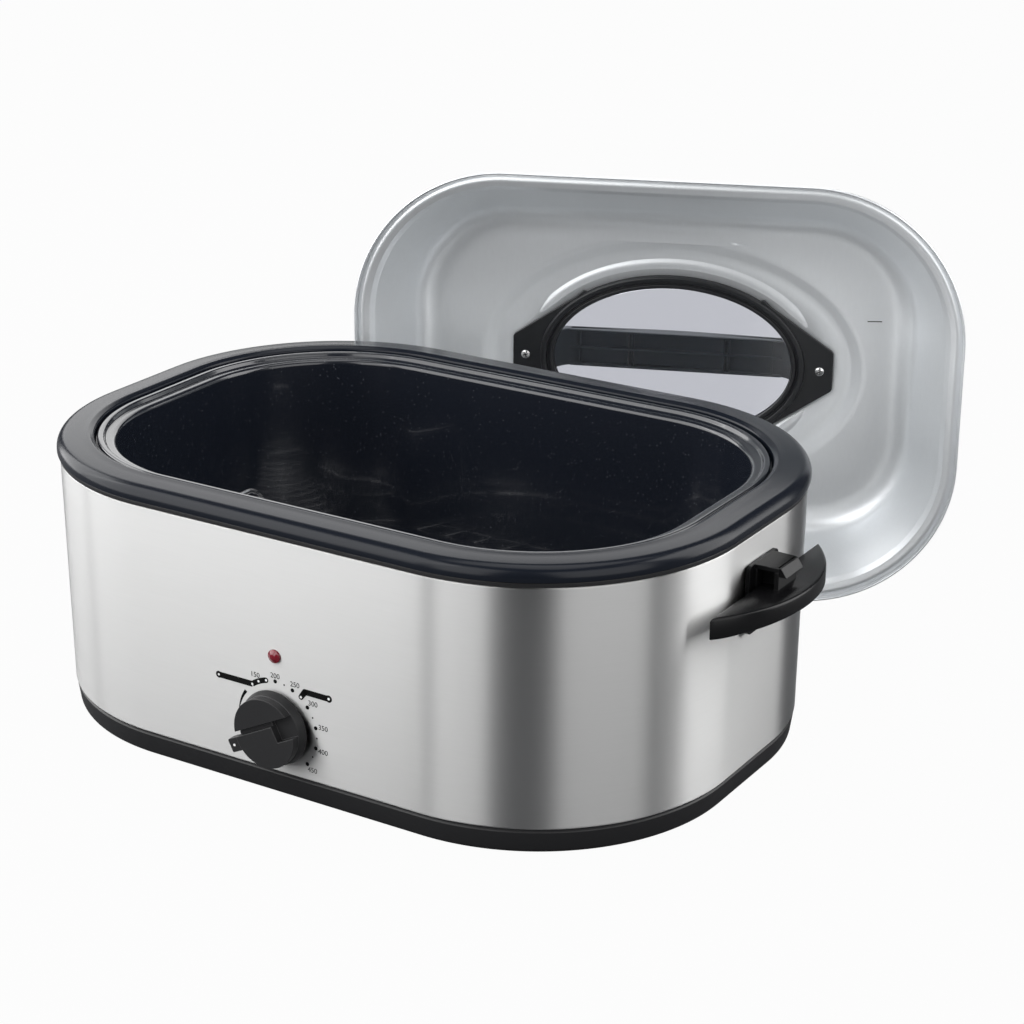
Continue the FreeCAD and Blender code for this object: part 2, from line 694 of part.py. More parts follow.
def heat_reflector():
    """Bright dish under the well, on the ribs of the bottom plate, with a dished edge."""
    body = new_body("heat_reflector")
    gauge, inset = size("plate_gauge"), size("reflector_inset")
    low = plate_level + 4 + size("reflector_stand")
    high = low + size("reflector_height")
    ring(body, outline(0), [
        (front(inset), high), (front(inset + 6), low, 6), (front(inset + 26), low),
        (front(inset + 26), low - gauge),
        (front(inset + 6 - gauge), low - gauge, 6 + gauge), (front(inset - gauge), high)])
    dish = new_sketch(body, "XY_Plane", low - gauge)
    draw(dish, outline(inset + 25))
    pad(body, dish, gauge)
    posts = new_sketch(body, "XY_Plane", plate_level + 4)
    for sx in (-1, 1):
        for sy in (-1, 1):
            draw_circle(posts, half_length * 0.5 * sx, half_width * 0.42 * sy, 4)
    pad(body, posts, size("reflector_stand") - gauge / 2)


def bracket_back():
    """Rear face of the thermostat's bracket, from the oven's middle."""
    return half_width - size("wall_taper") - size("wall_gauge") - 0.2 - size("plate_gauge")


def thermostat_parts():
    """Thermostat on a bracket behind the dial; its shaft turns with the knob."""
    bracket = new_body("thermostat_bracket")
    gauge, dial = size("plate_gauge"), size("dial_height")
    outer = -(bracket_back() + gauge)
    profile = new_sketch(bracket, "YZ_Plane")
    draw(profile, box(outer, dial - 24, outer + gauge, dial + 24))
    pad(bracket, profile, 44, Midplane=True)
    hole = new_sketch(bracket, "XZ_Plane")
    draw_circle(hole, 0, dial, size("shaft_hole"))
    pocket(bracket, hole, half_width + 5, Reversed=True)
    body = new_body("thermostat_body")
    case = new_sketch(body, "XZ_Plane", bracket_back())
    draw(case, [(-17, dial - 17, 4), (17, dial - 17, 4), (17, dial + 17, 4), (-17, dial + 17, 4)])
    pad(body, case, size("thermostat_depth"), Reversed=True)
    tabs = new_sketch(body, "XZ_Plane", bracket_back())
    draw(tabs, box(-21, dial - 5, 21, dial + 5))
    pad(body, tabs, 2, Reversed=True)
    bore = new_sketch(body, "XZ_Plane", bracket_back())
    draw_circle(bore, 0, dial, size("shaft_radius") + size("shaft_clear"))
    pocket(body, bore, size("shaft_seat") + 1)


def thermostat_shaft():
    """D-shaped shaft from the thermostat through the wall into the knob."""
    body = new_body("thermostat_shaft")
    start = half_width + size("knob_gap") + size("socket_depth") - 0.3
    round_bar = new_sketch(body, "XZ_Plane", start)
    draw_circle(round_bar, 0, 0, size("shaft_radius"))
    pad(body, round_bar, start - bracket_back() + size("shaft_seat"), Reversed=True)
    flat = new_sketch(body, "XZ_Plane", start + 1)
    radius = size("shaft_radius")
    draw(flat, box(radius * 0.5, -radius - 1, radius + 1, radius + 1))
    pocket(body, flat, size("socket_depth") - 1)
    body.Placement = FreeCAD.Placement(Vector(0, 0, 0), FreeCAD.Rotation(Vector(0, 1, 0), KNOB_OFF))
    bind(body, "Placement.Base.z", size("dial_height"))


def control_knob():
    """Knob at its off mark: drafted drum, raised grip bar on its face and a pointer tab at its edge."""
    body = new_body("control_knob")
    back = half_width + size("knob_gap")
    radius, depth = size("knob_radius"), size("knob_depth")
    drum = new_sketch(body, "YZ_Plane")
    draw(drum, [(-back, 0), (-back, radius), (-back - 1.5, radius), (-back - depth, radius - 1.2, 1.2),
                (-back - depth, 0)])
    revolve(body, drum, "H_Axis")
    reach, width, thick = size("pointer_reach"), size("pointer_width") / 2, size("tab_depth")
    tab = new_sketch(body, "XZ_Plane", back + depth - thick)
    draw(tab, [(-width, 0), (width, 0), (width, reach, 1.5), (-width, reach, 1.5)])
    pad(body, tab, thick)
    grip = new_sketch(body, "XZ_Plane", back + depth - 0.5)
    half, edge = size("grip_width") / 2, radius - 1.6
    draw(grip, [(-half, -edge + 2, 2), (half, -edge + 2, 2), (half, edge), (-half, edge)])
    pad(body, grip, size("grip_depth") + 0.5)
    notch = new_sketch(body, "XZ_Plane", back + depth)
    draw(notch, [(half, -edge - 5), (half + radius, -edge - 5), (half + radius, -edge * 0.35),
                 (half, -edge * 0.35, 2)])
    pocket(body, notch, 2.2)
    socket = new_sketch(body, "XZ_Plane", half_width)
    shaft = size("shaft_radius")
    draw_circle(socket, 0, 0, shaft)
    pocket(body, socket, size("knob_gap") + size("socket_depth"), Reversed=True)
    key = new_sketch(body, "XZ_Plane", back + 2)
    draw(key, box(shaft * 0.5, -shaft * 0.8, shaft + 0.5, shaft * 0.8))
    pad(body, key, size("socket_depth") - 2)
    body.Placement = FreeCAD.Placement(Vector(0, 0, 0), FreeCAD.Rotation(Vector(0, 1, 0), KNOB_OFF))
    bind(body, "Placement.Base.z", size("dial_height"))


def pilot_lamp():
    """Red lens pushed through the wall and the lamp's holder behind it."""
    lens = new_body("pilot_lamp_lens")
    half = new_sketch(lens, "YZ_Plane")
    wall, radius, hole = half_width, size("lamp_radius"), size("lamp_hole")
    draw(half, [(-wall, 0), (-wall, radius), (-wall - 1.2, radius), (-wall - 3, radius * 0.62),
                (-wall - 3.6, 0)])
    revolve(lens, half, "H_Axis")
    stem = new_sketch(lens, "XZ_Plane", wall)
    draw_circle(stem, 0, 0, hole - 0.2)
    pad(lens, stem, 10, Reversed=True)
    place(lens, 0, 0, size("lamp_height"))
    holder = new_body("pilot_lamp_holder")
    tube = new_sketch(holder, "XZ_Plane", wall - size("wall_taper") - 0.4)
    draw_circle(tube, 0, 0, hole + 2)
    draw_circle(tube, 0, 0, hole)
    pad(holder, tube, 9, Reversed=True)
    place(holder, 0, 0, size("lamp_height"))


def cord_gland():
    """Grommet where the supply cord enters at the rear, and the terminal block behind it."""
    gland = new_body("cord_gland")
    half = new_sketch(gland, "YZ_Plane")
    wall = half_width - size("wall_taper") / 2
    hole, bore = size("gland_hole") - 0.1, size("gland_bore")
    draw(half, [
        (wall - 6, bore), (wall + 9, bore), (wall + 9, bore + 1.6), (wall + 1.6, hole + 3),
        (wall + 0.9, hole + 3),
        (wall + 0.9, hole), (wall - 1.8, hole), (wall - 1.8, hole + 1.8), (wall - 6, hole)])
    revolve(gland, half, "H_Axis")
    place(gland, size("gland_side"), 0, size("gland_height"))
    block = new_body("terminal_block")
    level = plate_level + size("plate_gauge")
    foot = new_sketch(block, "XY_Plane", level)
    draw(foot, box(-22, -7, 22, 7))
    pad(block, foot, 9)
    walls = new_sketch(block, "XY_Plane", level + 8)
    for step in range(4):
        x = -21 + 13.2 * step
        draw(walls, box(x, -7, x + 2.4, 7))
    pad(block, walls, 5)
    place(block, size("gland_side"), half_width - 34, 0)


def handle_screw_levels():
    """Heights of the two screws of a handle."""
    return [block_bottom + 8, block_top - 9]


def handle_outer_radius():
    """Radius of the shelf's outer arc through its two ends and its bulge."""
    half, bulge = size("handle_half"), size("handle_bulge")
    return (half * half + bulge * bulge) / (2 * bulge)


def handle_outline(sketch, inset):
    """D-shaped outline of a handle's shelf: one straight edge and one arc, drawn in by an inset."""
    chord = half_length + size("handle_stand") + inset
    radius = handle_outer_radius() - inset
    centre = half_length + size("handle_stand") + size("handle_bulge") - handle_outer_radius()
    reach = math.sqrt(radius.value ** 2 - (chord.value - centre.value) ** 2)
    low, high = Vector(chord.value, -reach, 0), Vector(chord.value, reach, 0)
    edge = sketch.addGeometry(Part.LineSegment(high, low), False)
    arc_shape = Part.Arc(low, Vector(centre.value + radius.value, 0, 0), high)
    arc = sketch.addGeometry(arc_shape, False)
    sketch.addConstraint(Sketcher.Constraint("Coincident", edge, 2, arc, 1))
    sketch.addConstraint(Sketcher.Constraint("Coincident", arc, 2, edge, 1))
    sketch.addConstraint(Sketcher.Constraint("Vertical", edge))
    sketch.addConstraint(Sketcher.Constraint("PointOnObject", arc, 3, -1))
    for item in (("DistanceX", -1, 1, edge, 1), ("DistanceX", -1, 1, arc, 3), ("Radius", arc)):
        length = {1: chord, 3: centre}.get(item[-1]) if item[0] == "DistanceX" else radius
        index = sketch.addConstraint(Sketcher.Constraint(*item, length.value))
        bind(sketch, f"Constraints[{index}]", length)


def handle(label, turn):
    """End handle: D-shaped shelf with an arched skirt, wall flange, and a block whose nib stops the lid."""
    body = new_body(label)
    low, skin = handle_low, size("handle_skin")
    top = low + size("handle_skirt")
    shelf = new_sketch(body, "XY_Plane", low)
    handle_outline(shelf, as_size(0))
    pad(body, shelf, size("handle_skirt"))
    wall, half, reach = half_length + 0.2, size("block_half"), size("block_depth")
    block = new_sketch(body, "XY_Plane", top - skin)
    draw(block, [(wall, -half), (wall + reach, -half + 1), (wall + reach, half - 1), (wall, half)])
    pad(body, block, block_top - top + skin)
    mount = new_sketch(body, "XZ_Plane")
    base = block_bottom
    draw(mount, [(wall, base), (wall + 5, base), (wall + 14, low + 1), (wall + 14, top), (wall, top)])
    pad(body, mount, half * 2, Midplane=True)
    hollow = new_sketch(body, "XY_Plane", low)
    handle_outline(hollow, skin)
    pocket(body, hollow, size("handle_skirt") - skin, Reversed=True)
    rise = size("handle_arch") * 2
    arch = new_sketch(body, "YZ_Plane", wall + 15)
    span = size("handle_half") * 0.76
    draw(arch, [(-span, low - 1), (0, low + rise, span * 4), (span, low - 1)])
    pocket(body, arch, size("handle_bulge") + 20, Reversed=True)
    root = new_sketch(body, "XZ_Plane")
    draw(root, box(wall, base + 2, wall + 12, top - 1))
    pad(body, root, half * 2 - 4, Midplane=True)
    flange = new_sketch(body, "YZ_Plane", wall)
    edge = size("block_flange")
    draw(flange, [(-edge, base, 5), (edge, base, 5), (edge, block_top, 3), (-edge, block_top, 3)])
    pad(body, flange, size("flange_thick"))
    nib = new_sketch(body, "XZ_Plane")
    under = block_top - size("nib_height")
    draw(nib, [(wall + reach - 2, block_top), (wall + reach + 1, block_top),
               (wall + reach + size("nib_reach"), under), (wall + reach - 2, under)])
    pad(body, nib, half * 2 - 4, Midplane=True)
    window = new_sketch(body, "XZ_Plane", half + 1)
    draw(window, box(wall + 5, top + 1, wall + reach - 3, block_top - 3))
    pocket(body, window, 9)
    sockets = new_sketch(body, "YZ_Plane", half_length - 5)
    for level in handle_screw_levels():
        draw_circle(sockets, 0, level, size("screw_radius") * 0.8)
    pocket(body, sockets, 20, Reversed=True)
    body.Placement = FreeCAD.Placement(Vector(0, 0, 0), FreeCAD.Rotation(Vector(0, 0, 1), turn))


def handles():
    """The two end handles, their screws and the stiffening plates inside the wall."""
    handle("handle_right", 0.0)
    handle("handle_left", 180.0)
    inner = half_length - size("wall_taper") / 2 - size("wall_gauge") - size("plate_gauge")
    for label, turn in (("handle_plate_right", 0.0), ("handle_plate_left", 180.0)):
        plate = new_body(label)
        face = new_sketch(plate, "YZ_Plane", inner)
        low, high = block_bottom - 4, block_top + 2
        draw(face, [(-14, low, 4), (14, low, 4), (14, high, 4), (-14, high, 4)])
        pad(plate, face, size("plate_gauge"))
        holes = new_sketch(plate, "YZ_Plane", inner - 1)
        for level in handle_screw_levels():
            draw_circle(holes, 0, level, size("screw_radius") + size("screw_clear"))
        pocket(plate, holes, 6, Reversed=True)
        plate.Placement = FreeCAD.Placement(Vector(0, 0, 0), FreeCAD.Rotation(Vector(0, 0, 1), turn))
    body = screw("handle_screw", 11)
    spots = []
    for level in handle_screw_levels():
        spots.append((inner, as_size(0), level, Vector(0, 1, 0), 90.0))
        spots.append((-inner, as_size(0), level, Vector(0, 1, 0), -90.0))
    copies("handle_screws", body, spots)


lid_x = size("lid_length") / 2
lid_y = size("lid_width") / 2
panel_level = size("lid_depth")
oval_level = panel_level + size("lid_step")
frame_level = oval_level - size("lid_gauge")


def lid_turn():
    """Turn from the lid lying on its flange to the lid standing on its long edge."""
    yaw = math.radians(size("lid_yaw").value)
    along = Vector(-math.cos(yaw), -math.sin(yaw), 0)
    away = Vector(-math.sin(yaw), math.cos(yaw), 0)
    return FreeCAD.Rotation(along, Vector(0, 0, 1), away, "ZXY")


def stand_lid(part):
    """Stand a lid piece, modelled lying on its flange, behind the oven."""
    part.Placement = FreeCAD.Placement(Vector(0, 0, 0), lid_turn())
    bind(part, "Placement.Base.x", size("lid_right"))
    bind(part, "Placement.Base.y", size("lid_behind"))
    bind(part, "Placement.Base.z", lid_y)


def lid_outline(inset):
    """The lid's outline, drawn in by an inset."""
    return rounded_box(lid_x - inset, lid_y - inset, size("lid_radius") - inset)


def lid_shell():
    """Pressed lid: flat edge with a small down-turn, deep sloped wall, panel and raised oval."""
    body = new_body("lid_shell")
    gauge, flange, slope = size("lid_gauge"), size("lid_flange"), size("lid_slope")
    window_beads(body)
    inner = flange + slope
    spread = 6
    ring(body, lid_outline(0), [
        (-lid_y, -2.5), (-lid_y, 1.2 + gauge, 2), (flange - 3 - lid_y, 1.2 + gauge, 2),
        (flange - lid_y, 6, 3),
        (flange + slope * 0.62 - lid_y, panel_level, 26), (inner + spread - lid_y, panel_level + 1),
        (inner + spread - lid_y, panel_level + 1 - gauge),
        (flange + slope * 0.62 + gauge - lid_y, panel_level - gauge, 25),
        (flange + gauge - lid_y, 6, 3), (flange - 3 - lid_y, 1.2, 2), (gauge - lid_y, 1.2, 1),
        (gauge - lid_y, -2.5)])
    panel = new_sketch(body, "XY_Plane", panel_level + 1 - gauge)
    draw(panel, lid_outline(inner + spread - 1))
    pad(body, panel, gauge)
    oval_x, oval_y, run = size("oval_length") / 2, size("oval_width") / 2, size("lid_step") * 0.8
    loft(body, "Additive", [(oval_x, oval_y, panel_level), (oval_x - run, oval_y - run, oval_level)])
    loft(body, "Subtractive", [
        (oval_x, oval_y, panel_level - gauge * 1.5),
        (oval_x - run - gauge, oval_y - run - gauge, oval_level - gauge)])
    slit = new_sketch(body, "XY_Plane", panel_level)
    draw(slit, box(-oval_x - 15, oval_y * 0.44, -oval_x - 6, oval_y * 0.44 + 1.6))
    pocket(body, slit, 30, Midplane=True)
    opening = new_sketch(body, "XY_Plane", panel_level)
    draw_ellipse(opening, size("window_length") / 2 + 3, size("window_width") / 2 + 3)
    pocket(body, opening, 30, Midplane=True)
    screws = new_sketch(body, "XY_Plane", panel_level)
    for side in (-1, 1):
        draw_circle(screws, size("lid_screw") * side, 0, size("screw_radius") + size("screw_clear"))
    pocket(body, screws, 30, Midplane=True)
    stand_lid(body)


def window_beads(body):
    """Two pressed beads that follow the window's long sides on the inside."""
    out = size("bead_out")
    half_x, half_y = size("window_length") / 2 + out, size("window_width") / 2 + out
    spine = new_sketch(body, "XY_Plane")
    draw_ellipse(spine, half_x, half_y)
    profile = new_sketch(body, "YZ_Plane")
    low, wide = frame_level - size("bead_height"), size("bead_width") / 2
    draw(profile, [(-half_y - wide, frame_level + 0.4), (-half_y + wide, frame_level + 0.4),
                   (-half_y + wide * 0.4, low), (-half_y - wide * 0.4, low)])
    sweep(body, profile, spine)
    middle = new_sketch(body, "XY_Plane", low - 1)
    draw(middle, box(-half_x - 10, -half_y * 0.45, half_x + 10, half_y * 0.45))
    pocket(body, middle, size("bead_height") + 5, Reversed=True)


def window_parts():
    """Window glass, its gasket, and the black ring with end plates that clamps both from inside."""
    half_x, half_y = size("window_length") / 2, size("window_width") / 2
    rim, clear = size("frame_rim"), size("glass_clear")
    glass = new_body("window_glass")
    pane = new_sketch(glass, "XY_Plane", frame_level)
    draw_ellipse(pane, half_x + 2, half_y + 2)
    pad(glass, pane, size("glass_thick"))
    gasket = new_body("window_gasket")
    outer = new_sketch(gasket, "XY_Plane", frame_level)
    draw_ellipse(outer, half_x + 3 - clear / 2, half_y + 3 - clear / 2)
    draw_ellipse(outer, half_x + 2 + clear / 2, half_y + 2 + clear / 2)
    pad(gasket, outer, size("glass_thick"))
    frame = new_body("window_frame")
    plates = new_sketch(frame, "XY_Plane", frame_level - size("plate_thick"))
    reach, tip, root = size("plate_reach"), size("plate_tip") / 2, size("plate_root") / 2
    start = half_x * 0.62
    draw(plates, [(-reach, -tip, 3), (-start, -root), (start, -root), (reach, -tip, 3), (reach, tip, 3),
                  (start, root), (-start, root), (-reach, tip, 3)])
    pad(frame, plates, size("plate_thick"))
    thick = size("frame_thick")
    loft(frame, "Additive", [(half_x + rim, half_y + rim, frame_level), (half_x + rim - 1, half_y + rim - 1,
                                                                        frame_level - thick)])
    hole = new_sketch(frame, "XY_Plane", frame_level)
    draw_ellipse(hole, half_x, half_y)
    pocket(frame, hole, 30, Midplane=True)
    for side in (-1, 1):
        spot = new_sketch(frame, "XY_Plane", frame_level)
        draw_circle(spot, size("lid_screw") * side, 0, size("screw_radius") + size("screw_clear"))
        pocket(frame, spot, 30, Midplane=True)
    for part in (glass, gasket, frame):
        stand_lid(part)


def lid_handle():
    """Outer lid handle: two feet and a bowed strap over the window, ribbed underneath."""
    body = new_body("lid_handle")
    reach, thick, rise = size("plate_reach") - 2, size("strap_thick"), size("strap_rise")
    half = size("strap_width") / 2
    low = oval_level + 0.2
    high = low + rise
    profile = new_sketch(body, "XZ_Plane")
    draw(profile, [
        (-reach, low), (-reach, low + 5, 3), (-reach + 12, high - 4, 22), (as_size(0), high + 2, 400),
        (reach - 12, high - 4, 22), (reach, low + 5, 3), (reach, low), (reach - 24, low),
        (reach - 24, low + 5, 8), (reach - 36, high - thick - 4, 18), (as_size(0), high + 2 - thick, 400),
        (-reach + 36, high - thick - 4, 18), (-reach + 24, low + 5, 8), (-reach + 24, low)])
    pad(body, profile, half * 2, Midplane=True)
    holes = new_sketch(body, "XY_Plane", low - 1)
    for side in (-1, 1):
        draw_circle(holes, size("lid_screw") * side, 0, size("screw_radius") * 0.8)
    pocket(body, holes, 9, Reversed=True)
    stand_lid(body)


def lid_screws():
    """Two screws through the ring's end plates into the handle's feet."""
    pieces = []
    for i, side in enumerate((-1, 1), start=1):
        body = screw(f"lid_screw_{i}", size("plate_thick") + size("lid_gauge") + 6)
        body.Placement = lid_spot(size("lid_screw") * side, frame_level - size("plate_thick"))
        pieces.append(body)
    group("lid_screws", pieces)


def lid_spot(x, z):
    """Placement of a small piece at a spot of the lid."""
    turn = lid_turn()
    centre = Vector(size("lid_right").value, size("lid_behind").value, lid_y.value)
    return FreeCAD.Placement(centre + turn.multVec(Vector(x.value, 0, z.value)), turn)


def check_and_write():
    """Stop on any failed object or shape, then write one STEP file for each sub-part."""
    doc.recompute()
    failed = [obj.Name for obj in doc.Objects if {"Invalid", "Error"} & set(obj.State)]
    if failed:
        raise RuntimeError(f"failed objects: {failed}")
    for label, part in PARTS.items():
        if part.Shape.isNull() or not part.Shape.isValid() or part.Shape.Volume <= 0:
            raise RuntimeError(f"bad shape: {label}")
    os.makedirs("parts", exist_ok=True)
    for label, part in PARTS.items():
        part.Shape.exportStep(os.path.join("parts", f"{label}.step"))
        solids = len(part.Shape.Solids)
        faces = len(part.Shape.Faces)
        print(f"{label}: {solids} solid(s), {part.Shape.Volume / 1000:.1f} cm3, {faces} faces")


outer_shell()
base_ring()
rubber_feet()
bottom_plate()
base_screws()
rim_trim()
well_liner()
roasting_pan()
roasting_rack()
rack_loops()
heating_elements()
insulation_blanket()
heat_reflector()
thermostat_parts()
thermostat_shaft()
control_knob()
pilot_lamp()
cord_gland()
handles()
lid_shell()
window_parts()
lid_handle()
lid_screws()
check_and_write()
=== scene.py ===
"""Electric roaster oven with its lift-off lid standing behind it: looks and studio."""

import math

import bpy
from mathutils import Matrix, Vector


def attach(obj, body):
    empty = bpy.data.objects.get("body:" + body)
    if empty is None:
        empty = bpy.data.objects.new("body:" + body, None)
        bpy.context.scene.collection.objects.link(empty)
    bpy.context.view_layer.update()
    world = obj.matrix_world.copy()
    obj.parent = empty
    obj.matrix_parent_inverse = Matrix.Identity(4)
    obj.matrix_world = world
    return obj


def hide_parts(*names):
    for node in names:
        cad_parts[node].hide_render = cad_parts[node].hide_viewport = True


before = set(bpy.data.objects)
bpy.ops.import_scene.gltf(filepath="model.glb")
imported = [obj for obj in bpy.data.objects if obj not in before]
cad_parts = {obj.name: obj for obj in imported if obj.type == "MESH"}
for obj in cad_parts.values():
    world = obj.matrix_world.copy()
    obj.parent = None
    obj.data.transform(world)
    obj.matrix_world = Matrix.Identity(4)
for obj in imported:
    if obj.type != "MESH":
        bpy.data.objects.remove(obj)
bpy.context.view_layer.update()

bl_info = {
    "name": "Electric roaster oven",
    "version": (1, 0, 0),
    "blender": (4, 5, 0),
    "location": "View3D > Sidebar > Roaster",
    "description": "Builds the looks of a countertop roaster oven piece by piece",
    "category": "Object",
}

MM = 0.001
# Points on each corner and each side of the outlines
LOOP_CORNER = 40
LOOP_SIDE = 14
# Gauges, levels and places in millimetres
SHELL_GAUGE = 0.8
ENAMEL_GAUGE = 1.5
PAN_GAUGE = 1.2
WELL_FLOOR = 38.0
PAN_FLOOR = 42.2
PAN_EDGE = 193.2
HANDLE_WALL = 250.2
HANDLE_LOW = 134.5
HANDLE_TOP = 148.8
HANDLE_BLOCK_TOP = 163.3
HANDLE_SHELL = 3.0
KNOB_BACK = 179.0
KNOB_FLOOR = 185.8
KNOB_FACE = 191.2
KNOB_RIM = 23.6
GRIP_LEFT = 3.0
GRIP_RIGHT = 6.4
DIAL_RADIUS = 31.2
BAR_HEIGHT = 4.2
OVAL_RIGHT = 6.5
OVAL_UP = 3.5
LID_PANEL = 60.0
LID_OVAL = 64.0
PLATE_FACE = 61.4
WINDOW_BACK = 68.0
LID_SCREW = 115.0
STRAP_HALF_WIDTH = 15.0


# Sizes and colours
def length(label, text, value):
    """A length property; the value is given in millimetres."""
    return bpy.props.FloatProperty(
        name=label, description=text, default=value * MM, unit="LENGTH", precision=5)


def colour(label, text, value):
    """A linear colour property."""
    return bpy.props.FloatVectorProperty(
        name=label, description=text, default=value, size=3, min=0.0, max=1.0, subtype="COLOR")


class RoasterSizes(bpy.types.PropertyGroup):
    """Sizes of the oven and its lid."""

    half_length: length("Half length", "Steel wall from the middle to its end", 250.0)
    half_width: length("Half width", "Steel wall from the middle to its front", 178.0)
    corner: length("Corner radius", "Corner of the steel wall seen from above", 142.6)
    wall_taper: length("Wall taper", "How much the wall draws in towards the base", 1.8)
    base_top: length("Base top", "Lower edge of the steel wall above the table", 19.2)
    wall_top: length("Wall top", "Upper edge of the steel wall above the table", 181.1)
    rim_crease: length("Rim crease", "Outer edge of the rim's flat top above the table", 194.2)
    rim_top: length("Rim top", "Inner edge of the rim's flat top above the table", 195.8)
    dial_height: length("Dial height", "Knob axis above the table", 52.0)
    lamp_height: length("Lamp height", "Pilot lamp above the table", 101.0)
    lid_half_length: length("Lid half length", "Lid from its middle to its end", 230.2)
    lid_half_width: length("Lid half width", "Lid from its middle to its long edge", 161.9)
    lid_corner: length("Lid corner", "Corner of the lid's outline", 116.7)
    lid_right: length("Lid to the right", "Standing lid right of the oven's middle", 27.0)
    lid_behind: length("Lid behind", "Standing lid behind the oven's middle", 262.0)
    lid_yaw: bpy.props.FloatProperty(
        name="Lid turn", description="How far the standing lid is turned", default=math.radians(21.4),
        subtype="ANGLE", unit="ROTATION")
    knob_turn: bpy.props.FloatProperty(
        name="Knob turn", description="Where the knob points at rest", default=math.radians(-116.6),
        subtype="ANGLE", unit="ROTATION")


class RoasterColours(bpy.types.PropertyGroup):
    """Colours of the oven and its lid."""

    steel: colour("Steel", "Brushed wall", (0.60, 0.60, 0.595))
    lid: colour("Lid", "Satin inside of the lid", (0.86, 0.885, 0.905))
    enamel: colour("Enamel", "Rim, well and pan", (0.007, 0.009, 0.014))
    base: colour("Base", "Moulded base", (0.012, 0.012, 0.013))
    knob: colour("Knob", "Control knob", (0.018, 0.018, 0.019))
    handle: colour("Handle", "End handles", (0.004, 0.004, 0.0045))
    lamp: colour("Lamp", "Pilot lamp", (0.24, 0.002, 0.016))
    glass: colour("Glass", "Window of the lid", (0.54, 0.55, 0.60))
    print: colour("Print", "Marks of the dial", (0.004, 0.004, 0.004))
    floor: colour("Floor", "Floor and backdrop", (0.10, 0.102, 0.107))


def sizes():
    """The size settings of the scene."""
    return bpy.context.scene.roaster_sizes


def colours():
    """The colour settings of the scene."""
    return bpy.context.scene.roaster_colours


# Node groups
def new_group(name, inputs, outputs):
    """An empty node group with float or colour sockets, and its two ends."""
    tree = bpy.data.node_groups.new(name, "ShaderNodeTree")
    for label, kind, value in inputs:
        socket = tree.interface.new_socket(label, in_out="INPUT", socket_type=kind)
        socket.default_value = value
    for label, kind in outputs:
        tree.interface.new_socket(label, in_out="OUTPUT", socket_type=kind)
    return tree, tree.nodes.new("NodeGroupInput"), tree.nodes.new("NodeGroupOutput")


def math_node(tree, operation, first, second):
    """A maths node whose inputs are sockets or plain numbers."""
    node = tree.nodes.new("ShaderNodeMath")
    node.operation = operation
    for socket, value in zip(node.inputs, (first, second)):
        if isinstance(value, (int, float)):
            socket.default_value = value
        else:
            tree.links.new(value, socket)
    return node.outputs[0]


def noise(tree, vector, scale, detail):
    """A noise value over object coordinates."""
    node = tree.nodes.new("ShaderNodeTexNoise")
    node.inputs["Detail"].default_value = detail
    tree.links.new(vector, node.inputs["Vector"])
    if isinstance(scale, (int, float)):
        node.inputs["Scale"].default_value = scale
    else:
        tree.links.new(scale, node.inputs["Scale"])
    return node.outputs["Fac"]


def blend_colour(tree, factor, first, second):
    """Blend of two colours, each a socket or a plain colour."""
    node = tree.nodes.new("ShaderNodeMix")
    node.data_type = "RGBA"
    for index, value in ((0, factor), (6, first), (7, second)):
        if isinstance(value, (int, float)):
            node.inputs[index].default_value = value
        elif isinstance(value, tuple):
            node.inputs[index].default_value = (*value, 1.0)
        else:
            tree.links.new(value, node.inputs[index])
    return node.outputs[2]


def grain_group():
    """Fine moulding or casting grain with slow tonal drift."""
    tree, ins, outs = new_group("surface_grain", [
        ("Color", "NodeSocketColor", (0.5, 0.5, 0.5, 1)), ("Roughness", "NodeSocketFloat", 0.5),
        ("Scale", "NodeSocketFloat", 900.0), ("Drift", "NodeSocketFloat", 0.1)],
        [("Color", "NodeSocketColor"), ("Roughness", "NodeSocketFloat"), ("Height", "NodeSocketFloat")])
    place = tree.nodes.new("ShaderNodeTexCoord").outputs["Object"]
    fine = noise(tree, place, ins.outputs["Scale"], 3.0)
    slow = noise(tree, place, 14.0, 2.0)
    change = math_node(tree, "SUBTRACT", slow, 0.5)
    change = math_node(tree, "MULTIPLY", change, ins.outputs["Drift"])
    bright = tree.nodes.new("ShaderNodeHueSaturation")
    tree.links.new(ins.outputs["Color"], bright.inputs["Color"])
    tree.links.new(math_node(tree, "ADD", change, 1.0), bright.inputs["Value"])
    tree.links.new(bright.outputs[0], outs.inputs["Color"])
    tree.links.new(math_node(tree, "ADD", ins.outputs["Roughness"], change), outs.inputs["Roughness"])
    tree.links.new(fine, outs.inputs["Height"])
    return tree


